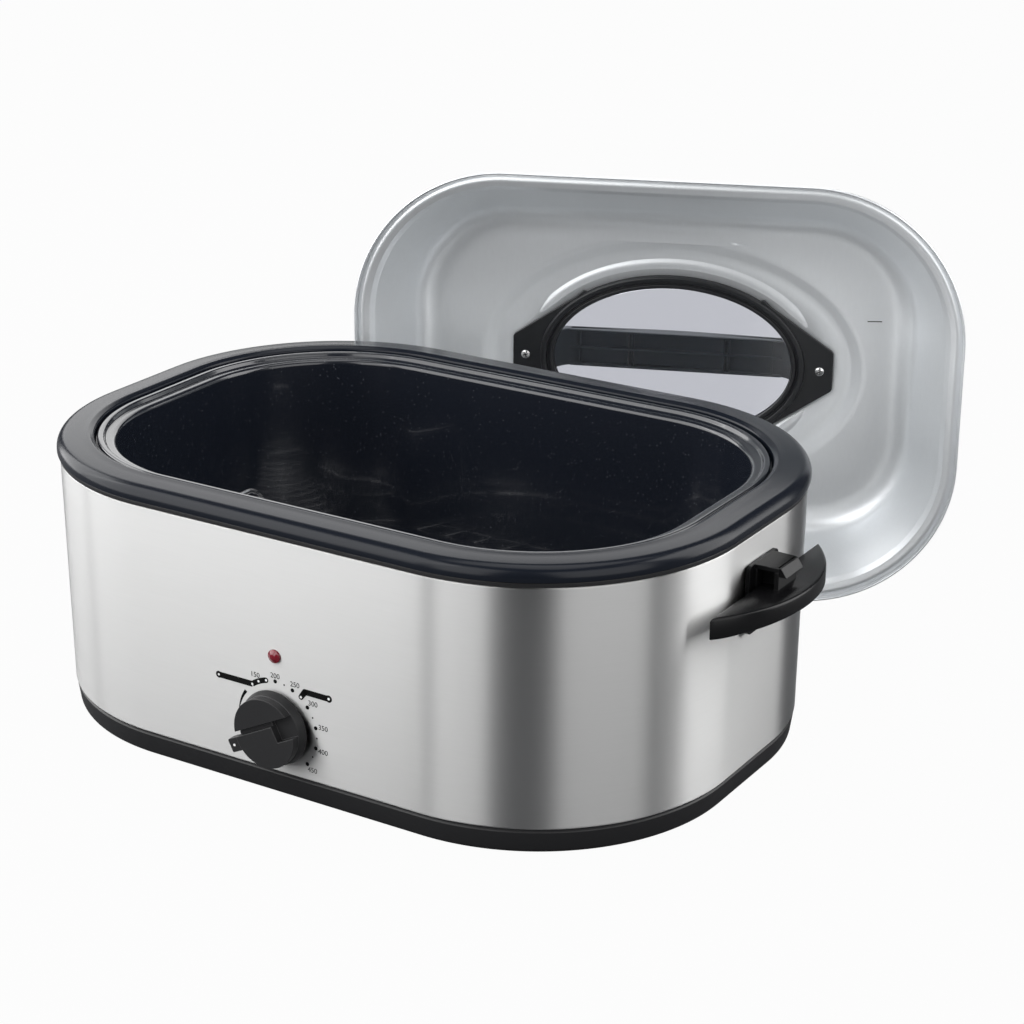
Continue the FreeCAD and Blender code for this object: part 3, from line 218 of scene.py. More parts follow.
def brushed_group():
    """Long brush lines along one axis, as roughness, tone and height."""
    tree, ins, outs = new_group("brushed_metal", [
        ("Color", "NodeSocketColor", (0.5, 0.5, 0.5, 1)), ("Roughness", "NodeSocketFloat", 0.3),
        ("Stretch", "NodeSocketVector", (60.0, 60.0, 4000.0)), ("Strength", "NodeSocketFloat", 0.1)],
        [("Color", "NodeSocketColor"), ("Roughness", "NodeSocketFloat"), ("Height", "NodeSocketFloat")])
    place = tree.nodes.new("ShaderNodeTexCoord").outputs["Object"]
    stretched = tree.nodes.new("ShaderNodeVectorMath")
    stretched.operation = "MULTIPLY"
    tree.links.new(place, stretched.inputs[0])
    tree.links.new(ins.outputs["Stretch"], stretched.inputs[1])
    lines = noise(tree, stretched.outputs[0], 1.0, 4.0)
    change = math_node(tree, "MULTIPLY", math_node(tree, "SUBTRACT", lines, 0.5), ins.outputs["Strength"])
    bright = tree.nodes.new("ShaderNodeHueSaturation")
    tree.links.new(ins.outputs["Color"], bright.inputs["Color"])
    tree.links.new(math_node(tree, "ADD", change, 1.0), bright.inputs["Value"])
    tree.links.new(bright.outputs[0], outs.inputs["Color"])
    tree.links.new(math_node(tree, "ADD", ins.outputs["Roughness"], change), outs.inputs["Roughness"])
    tree.links.new(lines, outs.inputs["Height"])
    return tree


def speckle_group():
    """Fine pale specks in enamel, with the slight orange peel of a fired coat."""
    tree, ins, outs = new_group("enamel_speckle", [
        ("Color", "NodeSocketColor", (0.01, 0.01, 0.01, 1)), ("Roughness", "NodeSocketFloat", 0.12),
        ("Amount", "NodeSocketFloat", 0.5)],
        [("Color", "NodeSocketColor"), ("Roughness", "NodeSocketFloat"), ("Height", "NodeSocketFloat")])
    place = tree.nodes.new("ShaderNodeTexCoord").outputs["Object"]
    cells = tree.nodes.new("ShaderNodeTexVoronoi")
    cells.inputs["Scale"].default_value = 420.0
    tree.links.new(place, cells.inputs["Vector"])
    near = math_node(tree, "LESS_THAN", cells.outputs["Distance"], 0.13)
    picked = math_node(tree, "GREATER_THAN", noise(tree, place, 300.0, 1.0), 0.55)
    mask = math_node(tree, "MULTIPLY", near, picked)
    mask = math_node(tree, "MULTIPLY", mask, ins.outputs["Amount"])
    tone = blend_colour(tree, mask, ins.outputs["Color"], (0.35, 0.35, 0.37))
    tree.links.new(tone, outs.inputs["Color"])
    tree.links.new(ins.outputs["Roughness"], outs.inputs["Roughness"])
    tree.links.new(noise(tree, place, 90.0, 2.0), outs.inputs["Height"])
    return tree


def wear_group():
    """Paler tone along edges: rubbed wear, and on the knob also a painted highlight along its edges."""
    tree, ins, outs = new_group("edge_wear_and_highlight", [
        ("Color", "NodeSocketColor", (0.1, 0.1, 0.1, 1)), ("Worn", "NodeSocketColor", (0.3, 0.3, 0.3, 1)),
        ("Amount", "NodeSocketFloat", 0.3)], [("Color", "NodeSocketColor")])
    bevel = tree.nodes.new("ShaderNodeBevel")
    bevel.inputs["Radius"].default_value = 0.0006
    shape = tree.nodes.new("ShaderNodeNewGeometry")
    dot = tree.nodes.new("ShaderNodeVectorMath")
    dot.operation = "DOT_PRODUCT"
    tree.links.new(bevel.outputs[0], dot.inputs[0])
    tree.links.new(shape.outputs["Normal"], dot.inputs[1])
    edge = math_node(tree, "MULTIPLY", math_node(tree, "SUBTRACT", 1.0, dot.outputs["Value"]), 6.0)
    place = tree.nodes.new("ShaderNodeTexCoord").outputs["Object"]
    rough = math_node(tree, "MULTIPLY", edge, noise(tree, place, 260.0, 3.0))
    mask = math_node(tree, "MINIMUM", math_node(tree, "MULTIPLY", rough, ins.outputs["Amount"]), 1.0)
    tree.links.new(blend_colour(tree, mask, ins.outputs["Color"], ins.outputs["Worn"]), outs.inputs["Color"])
    return tree


GROUP_MAKERS = {"grain": grain_group, "brushed": brushed_group, "speckle": speckle_group, "wear_and_highlight": wear_group}
GROUPS = {}


def use_group(tree, key, **values):
    """A node that uses one of the shared groups."""
    if key not in GROUPS:
        GROUPS[key] = GROUP_MAKERS[key]()
    node = tree.nodes.new("ShaderNodeGroup")
    node.node_tree = GROUPS[key]
    for label, value in values.items():
        if isinstance(value, bpy.types.NodeSocket):
            tree.links.new(value, node.inputs[label])
        else:
            node.inputs[label].default_value = value
    return node


# Materials
def finish_of(name, tone, rough, effect="grain", bump=0.02, bump_distance=0.0001, wear_and_highlight=0.0, constants=None,
              **extra):
    """A principled material driven by one shared effect, with constants set on its sockets."""
    made = bpy.data.materials.new(name)
    made.use_nodes = True
    tree = made.node_tree
    shader = tree.nodes["Principled BSDF"]
    body = use_group(tree, effect, Color=(*tone, 1.0), Roughness=rough, **extra)
    out = body.outputs["Color"]
    # Paler edges for wear; on the knob they are partly a painted highlight.
    if wear_and_highlight:
        worn_and_highlight_tone = tuple(min(1.0, part * 2.5 + 0.03) for part in tone)
        out = use_group(tree, "wear_and_highlight", Color=out, Worn=(*worn_and_highlight_tone, 1.0), Amount=wear_and_highlight).outputs["Color"]
    tree.links.new(out, shader.inputs["Base Color"])
    tree.links.new(body.outputs["Roughness"], shader.inputs["Roughness"])
    bumped = tree.nodes.new("ShaderNodeBump")
    bumped.inputs["Strength"].default_value = bump
    bumped.inputs["Distance"].default_value = bump_distance
    tree.links.new(body.outputs["Height"], bumped.inputs["Height"])
    tree.links.new(bumped.outputs[0], shader.inputs["Normal"])
    for label, value in (constants or {}).items():
        shader.inputs[label].default_value = value
    return made


def around_z(made):
    """Gives a brushed material highlights that run across its lines round the vertical axis."""
    tree = made.node_tree
    tangent = tree.nodes.new("ShaderNodeTangent")
    tangent.direction_type = "RADIAL"
    tangent.axis = "Z"
    tree.links.new(tangent.outputs[0], tree.nodes["Principled BSDF"].inputs["Tangent"])
    return made


def seen_directly(tree):
    """One for what the camera sees, also through the window."""
    ray = tree.nodes.new("ShaderNodeLightPath")
    return math_node(tree, "MAXIMUM", ray.outputs["Is Camera Ray"], ray.outputs["Is Transmission Ray"])


def white_to_the_camera(made):
    """Lifts what the camera sees of the floor towards plain white, and keeps a soft contact shadow."""
    tree = made.node_tree
    shader = tree.nodes["Principled BSDF"]
    glow = tree.nodes.new("ShaderNodeEmission")
    glow.inputs["Color"].default_value = (1.0, 1.0, 1.0, 1.0)
    glow.inputs["Strength"].default_value = 1.0
    mixed = tree.nodes.new("ShaderNodeMixShader")
    tree.links.new(math_node(tree, "MULTIPLY", seen_directly(tree), 0.97), mixed.inputs[0])
    tree.links.new(shader.outputs[0], mixed.inputs[1])
    tree.links.new(glow.outputs[0], mixed.inputs[2])
    tree.links.new(mixed.outputs[0], tree.nodes["Material Output"].inputs["Surface"])
    return made


MATERIALS = {}


def make_materials():
    """All finishes, by name."""
    tones = colours()
    metal = {"Metallic": 1.0}
    MATERIALS["steel"] = around_z(finish_of(
        "brushed_steel", tones.steel, 0.40, "brushed", 0.05,
        constants={"Metallic": 1.0, "Anisotropic": 1.0, "Anisotropic Rotation": 0.25},
        Stretch=(30.0, 30.0, 5200.0), Strength=0.10))
    MATERIALS["lid"] = finish_of(
        "satin_lid", tones.lid, 0.36, "brushed", 0.03, constants={"Metallic": 0.62},
        Stretch=(500.0, 500.0, 120.0), Strength=0.05)
    MATERIALS["enamel"] = finish_of(
        "black_enamel", tones.enamel, 0.22, "speckle", 0.05, 0.0004, Amount=0.0,
        constants={"Specular IOR Level": 0.22})
    MATERIALS["pan"] = finish_of(
        "speckled_enamel", tones.enamel, 0.20, "speckle", 0.05, 0.0004, Amount=0.25,
        constants={"Coat Weight": 0.5, "Coat Roughness": 0.05})
    MATERIALS["base"] = finish_of("moulded_base", tones.base, 0.42, wear_and_highlight=0.5, bump=0.08,
                                  constants={"Specular IOR Level": 0.4}, Scale=1400.0)
    MATERIALS["trim"] = finish_of("rim_bead", (0.01, 0.01, 0.011), 0.38, Scale=1500.0)
    # The knob's paler edges are partly wear and partly a painted highlight on its bevelled edges.
    MATERIALS["knob"] = finish_of("knob_plastic", tones.knob, 0.44, wear_and_highlight=1.4, bump=0.08,
                                  constants={"Specular IOR Level": 0.3}, Scale=1800.0)
    MATERIALS["handle"] = finish_of("handle_plastic", tones.handle, 0.26, wear_and_highlight=0.5, bump=0.04,
                                    constants={"Specular IOR Level": 0.25}, Scale=1200.0)
    MATERIALS["frame"] = finish_of("frame_plastic", (0.009, 0.010, 0.012), 0.34, wear_and_highlight=0.4,
                                   bump=0.05, Scale=1500.0)
    MATERIALS["strap"] = finish_of("strap_plastic", (0.036, 0.047, 0.053), 0.36, Scale=1500.0, bump=0.02)
    MATERIALS["screw"] = finish_of("bright_screw", (0.66, 0.66, 0.66), 0.22, constants=metal, Scale=700.0)
    MATERIALS["chrome"] = finish_of("plated_wire", (0.72, 0.72, 0.73), 0.13, constants=metal, Scale=500.0)
    MATERIALS["sheet"] = finish_of("plain_sheet", (0.50, 0.51, 0.52), 0.38, constants=metal, Scale=400.0)
    MATERIALS["bright"] = finish_of("reflector_sheet", (0.8, 0.8, 0.82), 0.2, constants=metal, Scale=300.0)
    MATERIALS["sheath"] = finish_of("element_sheath", (0.09, 0.085, 0.08), 0.5,
                                    constants={"Metallic": 0.7}, Scale=900.0)
    MATERIALS["wool"] = finish_of("mineral_wool", (0.62, 0.55, 0.38), 0.95, Scale=500.0, bump=0.9,
                                  bump_distance=0.002, Drift=0.5)
    MATERIALS["ceramic"] = finish_of("pale_case", (0.62, 0.60, 0.55), 0.6, Scale=800.0, bump=0.1)
    MATERIALS["rubber"] = finish_of("black_rubber", (0.015, 0.015, 0.016), 0.75, Scale=1200.0, bump=0.15)
    MATERIALS["print"] = finish_of("dial_print", tones.print, 0.6, bump=0.03,
                                   constants={"Specular IOR Level": 0.1}, Scale=2500.0)
    MATERIALS["white_print"] = finish_of("white_print", (0.8, 0.8, 0.8), 0.5, Scale=2500.0, bump=0.03)
    MATERIALS["lamp"] = finish_of(
        "red_lens", tones.lamp, 0.12, Scale=900.0, bump=0.02,
        constants={"Transmission Weight": 0.35, "Coat Weight": 0.6})
    MATERIALS["glass"] = finish_of(
        "window_glass", tones.glass, 0.0, Scale=60.0, bump=0.0, Drift=0.02,
        constants={"Transmission Weight": 1.0, "IOR": 1.45})
    MATERIALS["floor"] = finish_of("studio_floor", tones.floor, 0.85, Scale=60.0, bump=0.0, Drift=0.004)


NODE_FINISHES = {
    "steel": ["outer_shell"], "base": ["base_ring", "cord_gland"], "trim": ["rim_trim"],
    "enamel": ["well_liner"], "pan": ["roasting_pan"],
    "chrome": ["roasting_rack", "rack_loop_left", "rack_loop_right"],
    "sheath": ["heating_elements"], "wool": ["insulation_blanket"], "bright": ["heat_reflector"],
    "sheet": ["bottom_plate", "thermostat_bracket", "handle_plate_left", "handle_plate_right"],
    "ceramic": ["thermostat_body", "pilot_lamp_holder", "terminal_block"],
    "screw": ["base_screws", "handle_screws", "lid_screws", "thermostat_shaft"],
    "knob": ["control_knob"], "lamp": ["pilot_lamp_lens"], "handle": ["handle_left", "handle_right"],
    "lid": ["lid_shell"], "glass": ["window_glass"], "frame": ["window_frame"], "strap": ["lid_handle"],
    "rubber": ["window_gasket", "rubber_foot_1", "rubber_foot_2", "rubber_foot_3", "rubber_foot_4"],
}


# Shapes
def mesh_piece(name, points, faces, finish, body, replaced=(), smooth=40.0):
    """A mesh object in metres with its finish, the body it rides on and what it stands for."""
    mesh = bpy.data.meshes.new(name)
    mesh.from_pydata(points, [], faces)
    mesh.validate()
    mesh.materials.append(MATERIALS[finish])
    for face in mesh.polygons:
        face.use_smooth = True
    mesh.set_sharp_from_angle(angle=math.radians(smooth))
    made = bpy.data.objects.new(name, mesh)
    bpy.context.scene.collection.objects.link(made)
    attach(made, body)
    if replaced:
        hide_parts(*replaced)
    return made


class Build:
    """Collects points and faces of one piece, all in millimetres until they are placed."""

    def __init__(self, placed=None):
        self.points = []
        self.faces = []
        self.placed = placed or (lambda point: point)

    def add(self, points):
        first = len(self.points)
        for point in points:
            moved = self.placed(point)
            self.points.append(tuple(part * MM for part in moved))
        return list(range(first, len(self.points)))

    def rings(self, rings, closed=True, looped=False, caps=False):
        """Quads between following rings of the same count."""
        indices = [self.add(ring) for ring in rings]
        pairs = list(zip(indices, indices[1:]))
        if looped:
            pairs.append((indices[-1], indices[0]))
        for low, high in pairs:
            count = len(low)
            for i in range(count if closed else count - 1):
                j = (i + 1) % count
                self.faces.append((low[i], low[j], high[j], high[i]))
        if caps:
            self.close(indices[0], indices[-1])
        return indices

    def close(self, first, last):
        """Faces over the two ends of a row of rings."""
        self.faces.append(tuple(reversed(first)))
        self.faces.append(tuple(last))

    def prism(self, outline, low, high, lift):
        """A closed outline raised between two levels; lift turns (x, y, level) into a point."""
        self.rings([[lift(x, y, level) for x, y in outline] for level in (low, high)], caps=True)

    def piece(self, name, finish, body, replaced=(), slot="", smooth=40.0, bevel=0.0):
        """Makes the object, with rounded edges where bevel gives a width in millimetres."""
        made = mesh_piece(name, self.points, self.faces, finish, body, replaced, smooth)
        if bevel:
            rounded = made.modifiers.new("rounded_edges", "BEVEL")
            rounded.width = bevel * MM
            rounded.segments = 3
            rounded.limit_method = "ANGLE"
            rounded.angle_limit = math.radians(35)
        return made


def upright(x, y, level):
    """Lift for a prism whose outline lies flat."""
    return x, y, level


def box(left, right, low, high):
    """Corners of a rectangle."""
    return [(left, low), (right, low), (right, high), (left, high)]


def rounded_loop(half_x, half_y, radius):
    """Points round a rounded rectangle, in the same order and count for every size."""
    points = []
    corners = ((1, 1, 0), (-1, 1, 90), (-1, -1, 180), (1, -1, 270))
    for index, (sx, sy, start) in enumerate(corners):
        cx, cy = sx * (half_x - radius), sy * (half_y - radius)
        for step in range(LOOP_CORNER + 1):
            angle = math.radians(start + 90.0 * step / LOOP_CORNER)
            points.append((cx + radius * math.cos(angle), cy + radius * math.sin(angle)))
        nx, ny, nstart = corners[(index + 1) % 4]
        ex, ey = nx * (half_x - radius), ny * (half_y - radius)
        turn = math.radians(nstart)
        end = (ex + radius * math.cos(turn), ey + radius * math.sin(turn))
        last = points[-1]
        for step in range(1, LOOP_SIDE):
            share = step / LOOP_SIDE
            points.append((last[0] + (end[0] - last[0]) * share, last[1] + (end[1] - last[1]) * share))
    return points


def oven_loop(inset, level):
    """The oven's outline drawn in by an inset, in millimetres."""
    scene_sizes = sizes()
    half_x = scene_sizes.half_length / MM - inset
    half_y = scene_sizes.half_width / MM - inset
    corner = scene_sizes.corner / MM - inset
    return [(x, y, level) for x, y in rounded_loop(half_x, half_y, corner)]


def rounded_path(corners, steps=8):
    """Points of an open path whose corners (x, y, radius) are rounded."""
    points = []
    for index, corner in enumerate(corners):
        here = Vector(corner[:2])
        radius = corner[2] if len(corner) > 2 else 0.0
        if radius == 0.0 or index in (0, len(corners) - 1):
            points.append(tuple(here))
            continue
        before = Vector(corners[index - 1][:2]) - here
        after = Vector(corners[index + 1][:2]) - here
        before_length, after_length = before.length, after.length
        before.normalize()
        after.normalize()
        half = math.acos(max(-1.0, min(1.0, before.dot(after)))) / 2
        run = min(radius / math.tan(half), before_length * 0.95, after_length * 0.95)
        radius = run * math.tan(half)
        centre = here + (before + after).normalized() * (radius / math.sin(half))
        start, end = here + before * run - centre, here + after * run - centre
        total = start.angle_signed(end)
        for step in range(steps + 1):
            turned = start.copy()
            turned.rotate(Matrix.Rotation(-total * step / steps, 2))
            points.append(tuple(centre + turned))
    return points


def oven_sweep(name, profile, finish, replaced, slot, steps=8, body="oven"):
    """A closed profile of (inset, level, radius) swept round the oven's outline."""
    build = Build()
    path = rounded_path(list(profile) + [profile[0]], steps)[:-1]
    build.rings([oven_loop(inset, level) for inset, level in path], looped=True)
    return build.piece(name, finish, body, replaced, slot)


def wall_face(level):
    """Y of the steel wall's front at a level, in millimetres."""
    scene_sizes = sizes()
    top, low = scene_sizes.wall_top / MM, scene_sizes.base_top / MM
    drawn = scene_sizes.wall_taper / MM * (top - level) / (top - low)
    return -(scene_sizes.half_width / MM - drawn)


# Oven pieces
def build_shell():
    """Brushed steel wall with rolled lower and upper edges."""
    sz = sizes()
    low, top, taper = sz.base_top / MM, sz.wall_top / MM, sz.wall_taper / MM
    hem, gauge = 11.0, SHELL_GAUGE
    oven_sweep("steel_wall", [
        (taper + hem, low), (taper, low, 1.6), (0, top, 1.2), (hem, top), (hem, top - gauge),
        (gauge, top - gauge, 0.5), (taper + gauge, low + gauge, 1.0), (taper + hem, low + gauge)],
        "steel", ["outer_shell"], "brushed_steel")


def build_base():
    """Moulded base with a rounded lower edge and a thin shadow step under the wall."""
    top = sizes().base_top / MM
    oven_sweep("moulded_base", [
        (25.6, 1.5), (4.6, 1.5, 4.5), (2.4, top - 2.2, 1.0), (3.6, top - 1.2), (3.6, top), (9, top),
        (9, 4.5, 2), (25.6, 4.5)], "base", ["base_ring"], "base_plastic")


def build_rim():
    """Black bead, rolled rim, flat top, pan ledge, walls and floor of the well."""
    sz = sizes()
    top, crease, crown = sz.wall_top / MM, sz.rim_crease / MM, sz.rim_top / MM
    oven_sweep("bead_under_rim", [
        (-0.6, top + 0.4, 0.6), (-0.6, top + 3.2, 0.6), (8, top + 3.2), (8, top)],
        "trim", ["rim_trim"], "rim_bead")
    build = Build()
    low, ledge, gauge = top + 3.5, crown - 7.5, ENAMEL_GAUGE
    path = rounded_path([
        (-0.6, low), (-2, low + 0.2, 0.6), (-2, crease, 7.8), (16, crown - 0.5, 60), (20, crown, 2.5),
        (23.3, crown - 2, 2), (23.5, ledge, 1.5), (36, ledge, 4), (41, WELL_FLOOR, 20), (65, WELL_FLOOR)], 10)
    inner = rounded_path([
        (65, WELL_FLOOR - gauge), (39.5, WELL_FLOOR - gauge, 21), (34.5, ledge - gauge, 2.5),
        (22, ledge - gauge, 3), (20.5, crown - gauge, 0.7), (-0.5, crease - gauge, 6.5), (-0.5, low)], 10)
    rings = build.rings([oven_loop(inset, level) for inset, level in path + inner], looped=True)
    build.close(rings[len(path) - 1], rings[len(path)])
    build.piece("rim_and_well", "enamel", "oven", ["well_liner"], "enamel")


def build_pan():
    """Lift-out pan with a rolled rim, drafted walls and a pressed rib in its floor."""
    build = Build()
    edge, floor, under = PAN_EDGE, PAN_FLOOR, PAN_FLOOR - PAN_GAUGE
    path = rounded_path([
        (25.3, edge - 4), (25.1, edge, 1.9), (29.5, edge - 0.2, 1.8), (31, edge - 3.3, 1.6),
        (38.1, edge - 3.6, 3.5), (43.6, floor, 22), (90, floor), (94, floor + 1.6, 3), (98, floor + 1.6, 3),
        (102, floor)], 8)
    inner = rounded_path([
        (102, under), (42.4, under, 23), (37.0, edge - 4.6, 2.5), (30, edge - 4.6), (28.4, edge - 1.6, 1.2),
        (26.3, edge - 1.6, 0.8), (26.3, edge - 4)], 8)
    rings = build.rings([oven_loop(inset, level) for inset, level in path + inner], looped=True)
    build.close(rings[len(path) - 1], rings[len(path)])
    build.piece("roasting_pan_body", "pan", "pan", ["roasting_pan"], "pan_enamel")


def d_outline(inset, half=76.0, bulge=30.0, chord=255.0):
    """D-shaped outline of a handle's shelf, drawn in by an inset."""
    full = (half * half + bulge * bulge) / (2 * bulge)
    radius, centre = full - inset, chord + bulge - full
    straight = chord + inset
    reach = math.sqrt(radius ** 2 - (straight - centre) ** 2)
    spread = math.atan2(reach, straight - centre)
    return [(centre + radius * math.cos(a), radius * math.sin(a))
            for a in (spread * (2 * i / 48 - 1) for i in range(49))]


def skirt_low(x, y):
    """Level of a handle skirt's lower edge, which arches up away from its two ends."""
    arch, reach = 3.2, 72.0
    rise = min(1.0, max(0.0, (x - 256.0) / 12.0))
    eased = rise * rise * (3 - 2 * rise)
    return HANDLE_LOW + arch * eased * math.cos(min(1.0, abs(y) / reach) * math.pi / 2)


def handle_shelf(build):
    """Hollow D-shaped shelf with its arched skirt and rounded top edge."""
    outer, inner, top = d_outline(0), d_outline(3.5), HANDLE_TOP
    rings = [[(x, y, top - 3.5) for x, y in inner], [(x, y, skirt_low(x, y)) for x, y in inner],
             [(x, y, skirt_low(x, y)) for x, y in d_outline(0.5)],
             [(x, y, skirt_low(x, y) + 0.5) for x, y in outer], [(x, y, top - 1.9) for x, y in outer],
             [(x, y, top - 0.5) for x, y in d_outline(0.6)], [(x, y, top) for x, y in d_outline(2.0)]]
    made = build.rings(rings)
    build.close(made[0], made[-1])


def build_handles():
    """End handles: D-shaped shelf, wall flange, brace, and hollow block with its sloped nib."""
    wall, top, low = HANDLE_WALL, HANDLE_BLOCK_TOP, HANDLE_TOP - 0.8
    flange, under = wall + HANDLE_SHELL, top - HANDLE_SHELL
    rib, front, tip = 255.2, 266.7, 269.7
    across = lambda x, z, y: (x, y, z)
    outward = lambda y, z, x: (x, y, z)
    plate = rounded_path([(0, 116), (-20, 116, 5), (-20, top, 3), (20, top, 3), (20, 116, 5), (0.01, 116)])
    brace = [(wall, 120), (flange, 120), (wall + 8, 135.5), (wall + 8, 146.5), (wall, 146.5)]
    for name, node, side in (("end_handle_right", "handle_right", 1), ("end_handle_left", "handle_left", -1)):
        build = Build(lambda p, side=side: (p[0] * side, p[1] * side, p[2]))
        handle_shelf(build)
        build.prism([(wall, -14), (tip, -13), (tip, 13), (wall, 14)], under, top, upright)
        build.prism([(flange, -14), (rib, -13.9), (rib, 13.9), (flange, 14)], low, under, upright)
        build.prism([(front, -13.1), (tip, -13), (tip, 13), (front, 13.1)], low, under, upright)
        build.prism(box(rib, front, -5, 5), low, under, upright)
        build.prism([(268, top), (270.7, top), (274.7, top - 6), (268, top - 6)], -12, 12, across)
        build.prism(brace, -14, 14, across)
        build.prism(plate, wall, flange, outward)
        build.piece(name, "handle", "oven", [node], "handle_plastic", bevel=0.5)


# Control pieces
def knob_point(point):
    """A point of the knob's own plane (x right, z up, y depth) turned to the off mark."""
    turn = Matrix.Rotation(sizes().knob_turn, 3, "Y")
    moved = turn @ Vector(point)
    return (moved.x, moved.y, moved.z + sizes().dial_height / MM)


def circle(radius, count=96):
    """Points of a circle."""
    return [(radius * math.cos(2 * math.pi * i / count), radius * math.sin(2 * math.pi * i / count))
            for i in range(count)]


def build_knob():
    """Knob: drafted drum, raised face either side of a groove, pointer tab and its white dot."""
    build = Build(knob_point)
    profile = rounded_path([(25.0, KNOB_BACK), (25.6, KNOB_BACK + 0.6, 0.5), (24.9, KNOB_BACK + 3.5, 0.3),
                            (23.9, KNOB_FLOOR, 0.8), (10, KNOB_FLOOR)], 6)
    rings = build.rings([[(x, -depth, z) for x, z in circle(radius)] for radius, depth in profile])
    build.close(rings[0], rings[-1])
    forward = lambda x, z, depth: (x, -depth, z)
    low, face, rim, notch, notch_left = KNOB_FLOOR - 1.8, KNOB_FACE, KNOB_RIM, -8.2, -8.0
    build.prism(arc_points(rim, *chord_angles(rim, GRIP_RIGHT)), low, face, forward)
    notch_angle = 180 + math.degrees(math.acos(-notch_left / rim))
    outline = arc_points(rim, chord_angles(rim, GRIP_LEFT)[1], notch_angle)
    build.prism(outline + [(notch_left, notch), (GRIP_LEFT, notch)], low, face, forward)
    build.prism(rounded_path(box(GRIP_LEFT, GRIP_RIGHT, notch, 20.0)), low, face - 2.6, forward)
    left, right, tip = -GRIP_RIGHT, GRIP_LEFT, 31.2
    tab = [(left, 10), (right, 10), (right, tip - 0.7), (right - 0.6, tip), (left + 0.6, tip),
           (left, tip - 0.7)]
    build.prism(tab, low + 0.6, face - 0.1, forward)
    build.piece("dial_knob", "knob", "knob", ["control_knob"], "knob_plastic", bevel=0.35)
    dot = Build(knob_point)
    dot.prism([(x - 1.7, z + 27.4) for x, z in circle(0.9, 32)], face - 0.2, face + 0.05, forward)
    dot.piece("pointer_dot", "white_print", "knob", slot="knob_plastic")


def chord_angles(radius, at):
    """First and last angle, in degrees, of the arc to the right of an upright line."""
    half = math.degrees(math.acos(at / radius))
    return -half, half


def arc_points(radius, first, last, steps=72):
    """Points of an arc between two angles in degrees."""
    turns = [math.radians(first + (last - first) * i / steps) for i in range(steps + 1)]
    return [(radius * math.cos(turn), radius * math.sin(turn)) for turn in turns]


def printed(build, outline, high=0.07):
    """A thin printed mark on the wall's front; the outline is (x, height above the table)."""
    build.rings([[(x, wall_face(z) - depth, z) for x, z in outline] for depth in (-0.02, high)], caps=True)


def dial_spot(angle, radius):
    """A spot round the dial; the angle is in degrees clockwise from straight up."""
    turn = math.radians(angle)
    return radius * math.sin(turn), sizes().dial_height / MM + radius * math.cos(turn)


def bar_outline(first, last, wide_first, wide_last):
    """A straight bar with its own width at each end."""
    along = (Vector(last) - Vector(first)).normalized()
    out = Vector((-along.y, along.x))
    a, b = Vector(first), Vector(last)
    return [tuple(a + out * wide_first / 2), tuple(a - out * wide_first / 2),
            tuple(b - out * wide_last / 2), tuple(b + out * wide_last / 2)]


# Each number and its angle on the dial in degrees
DIAL_NUMBERS = ((150, -27.0), (200, -0.5), (250, 25.0), (300, 52.0), (350, 78.5), (400, 105.0), (450, 132.5))


def band(first, last, radius, width, steps=20):
    """A band along the dial's circle between two angles."""
    turns = [first + (last - first) * i / steps for i in range(steps + 1)]
    return ([dial_spot(turn, radius + width / 2) for turn in turns]
            + [dial_spot(turn, radius - width / 2) for turn in reversed(turns)])


def spot(centre, radius, count=28):
    """A round mark."""
    return [(centre[0] + x, centre[1] + z) for x, z in circle(radius, count)]


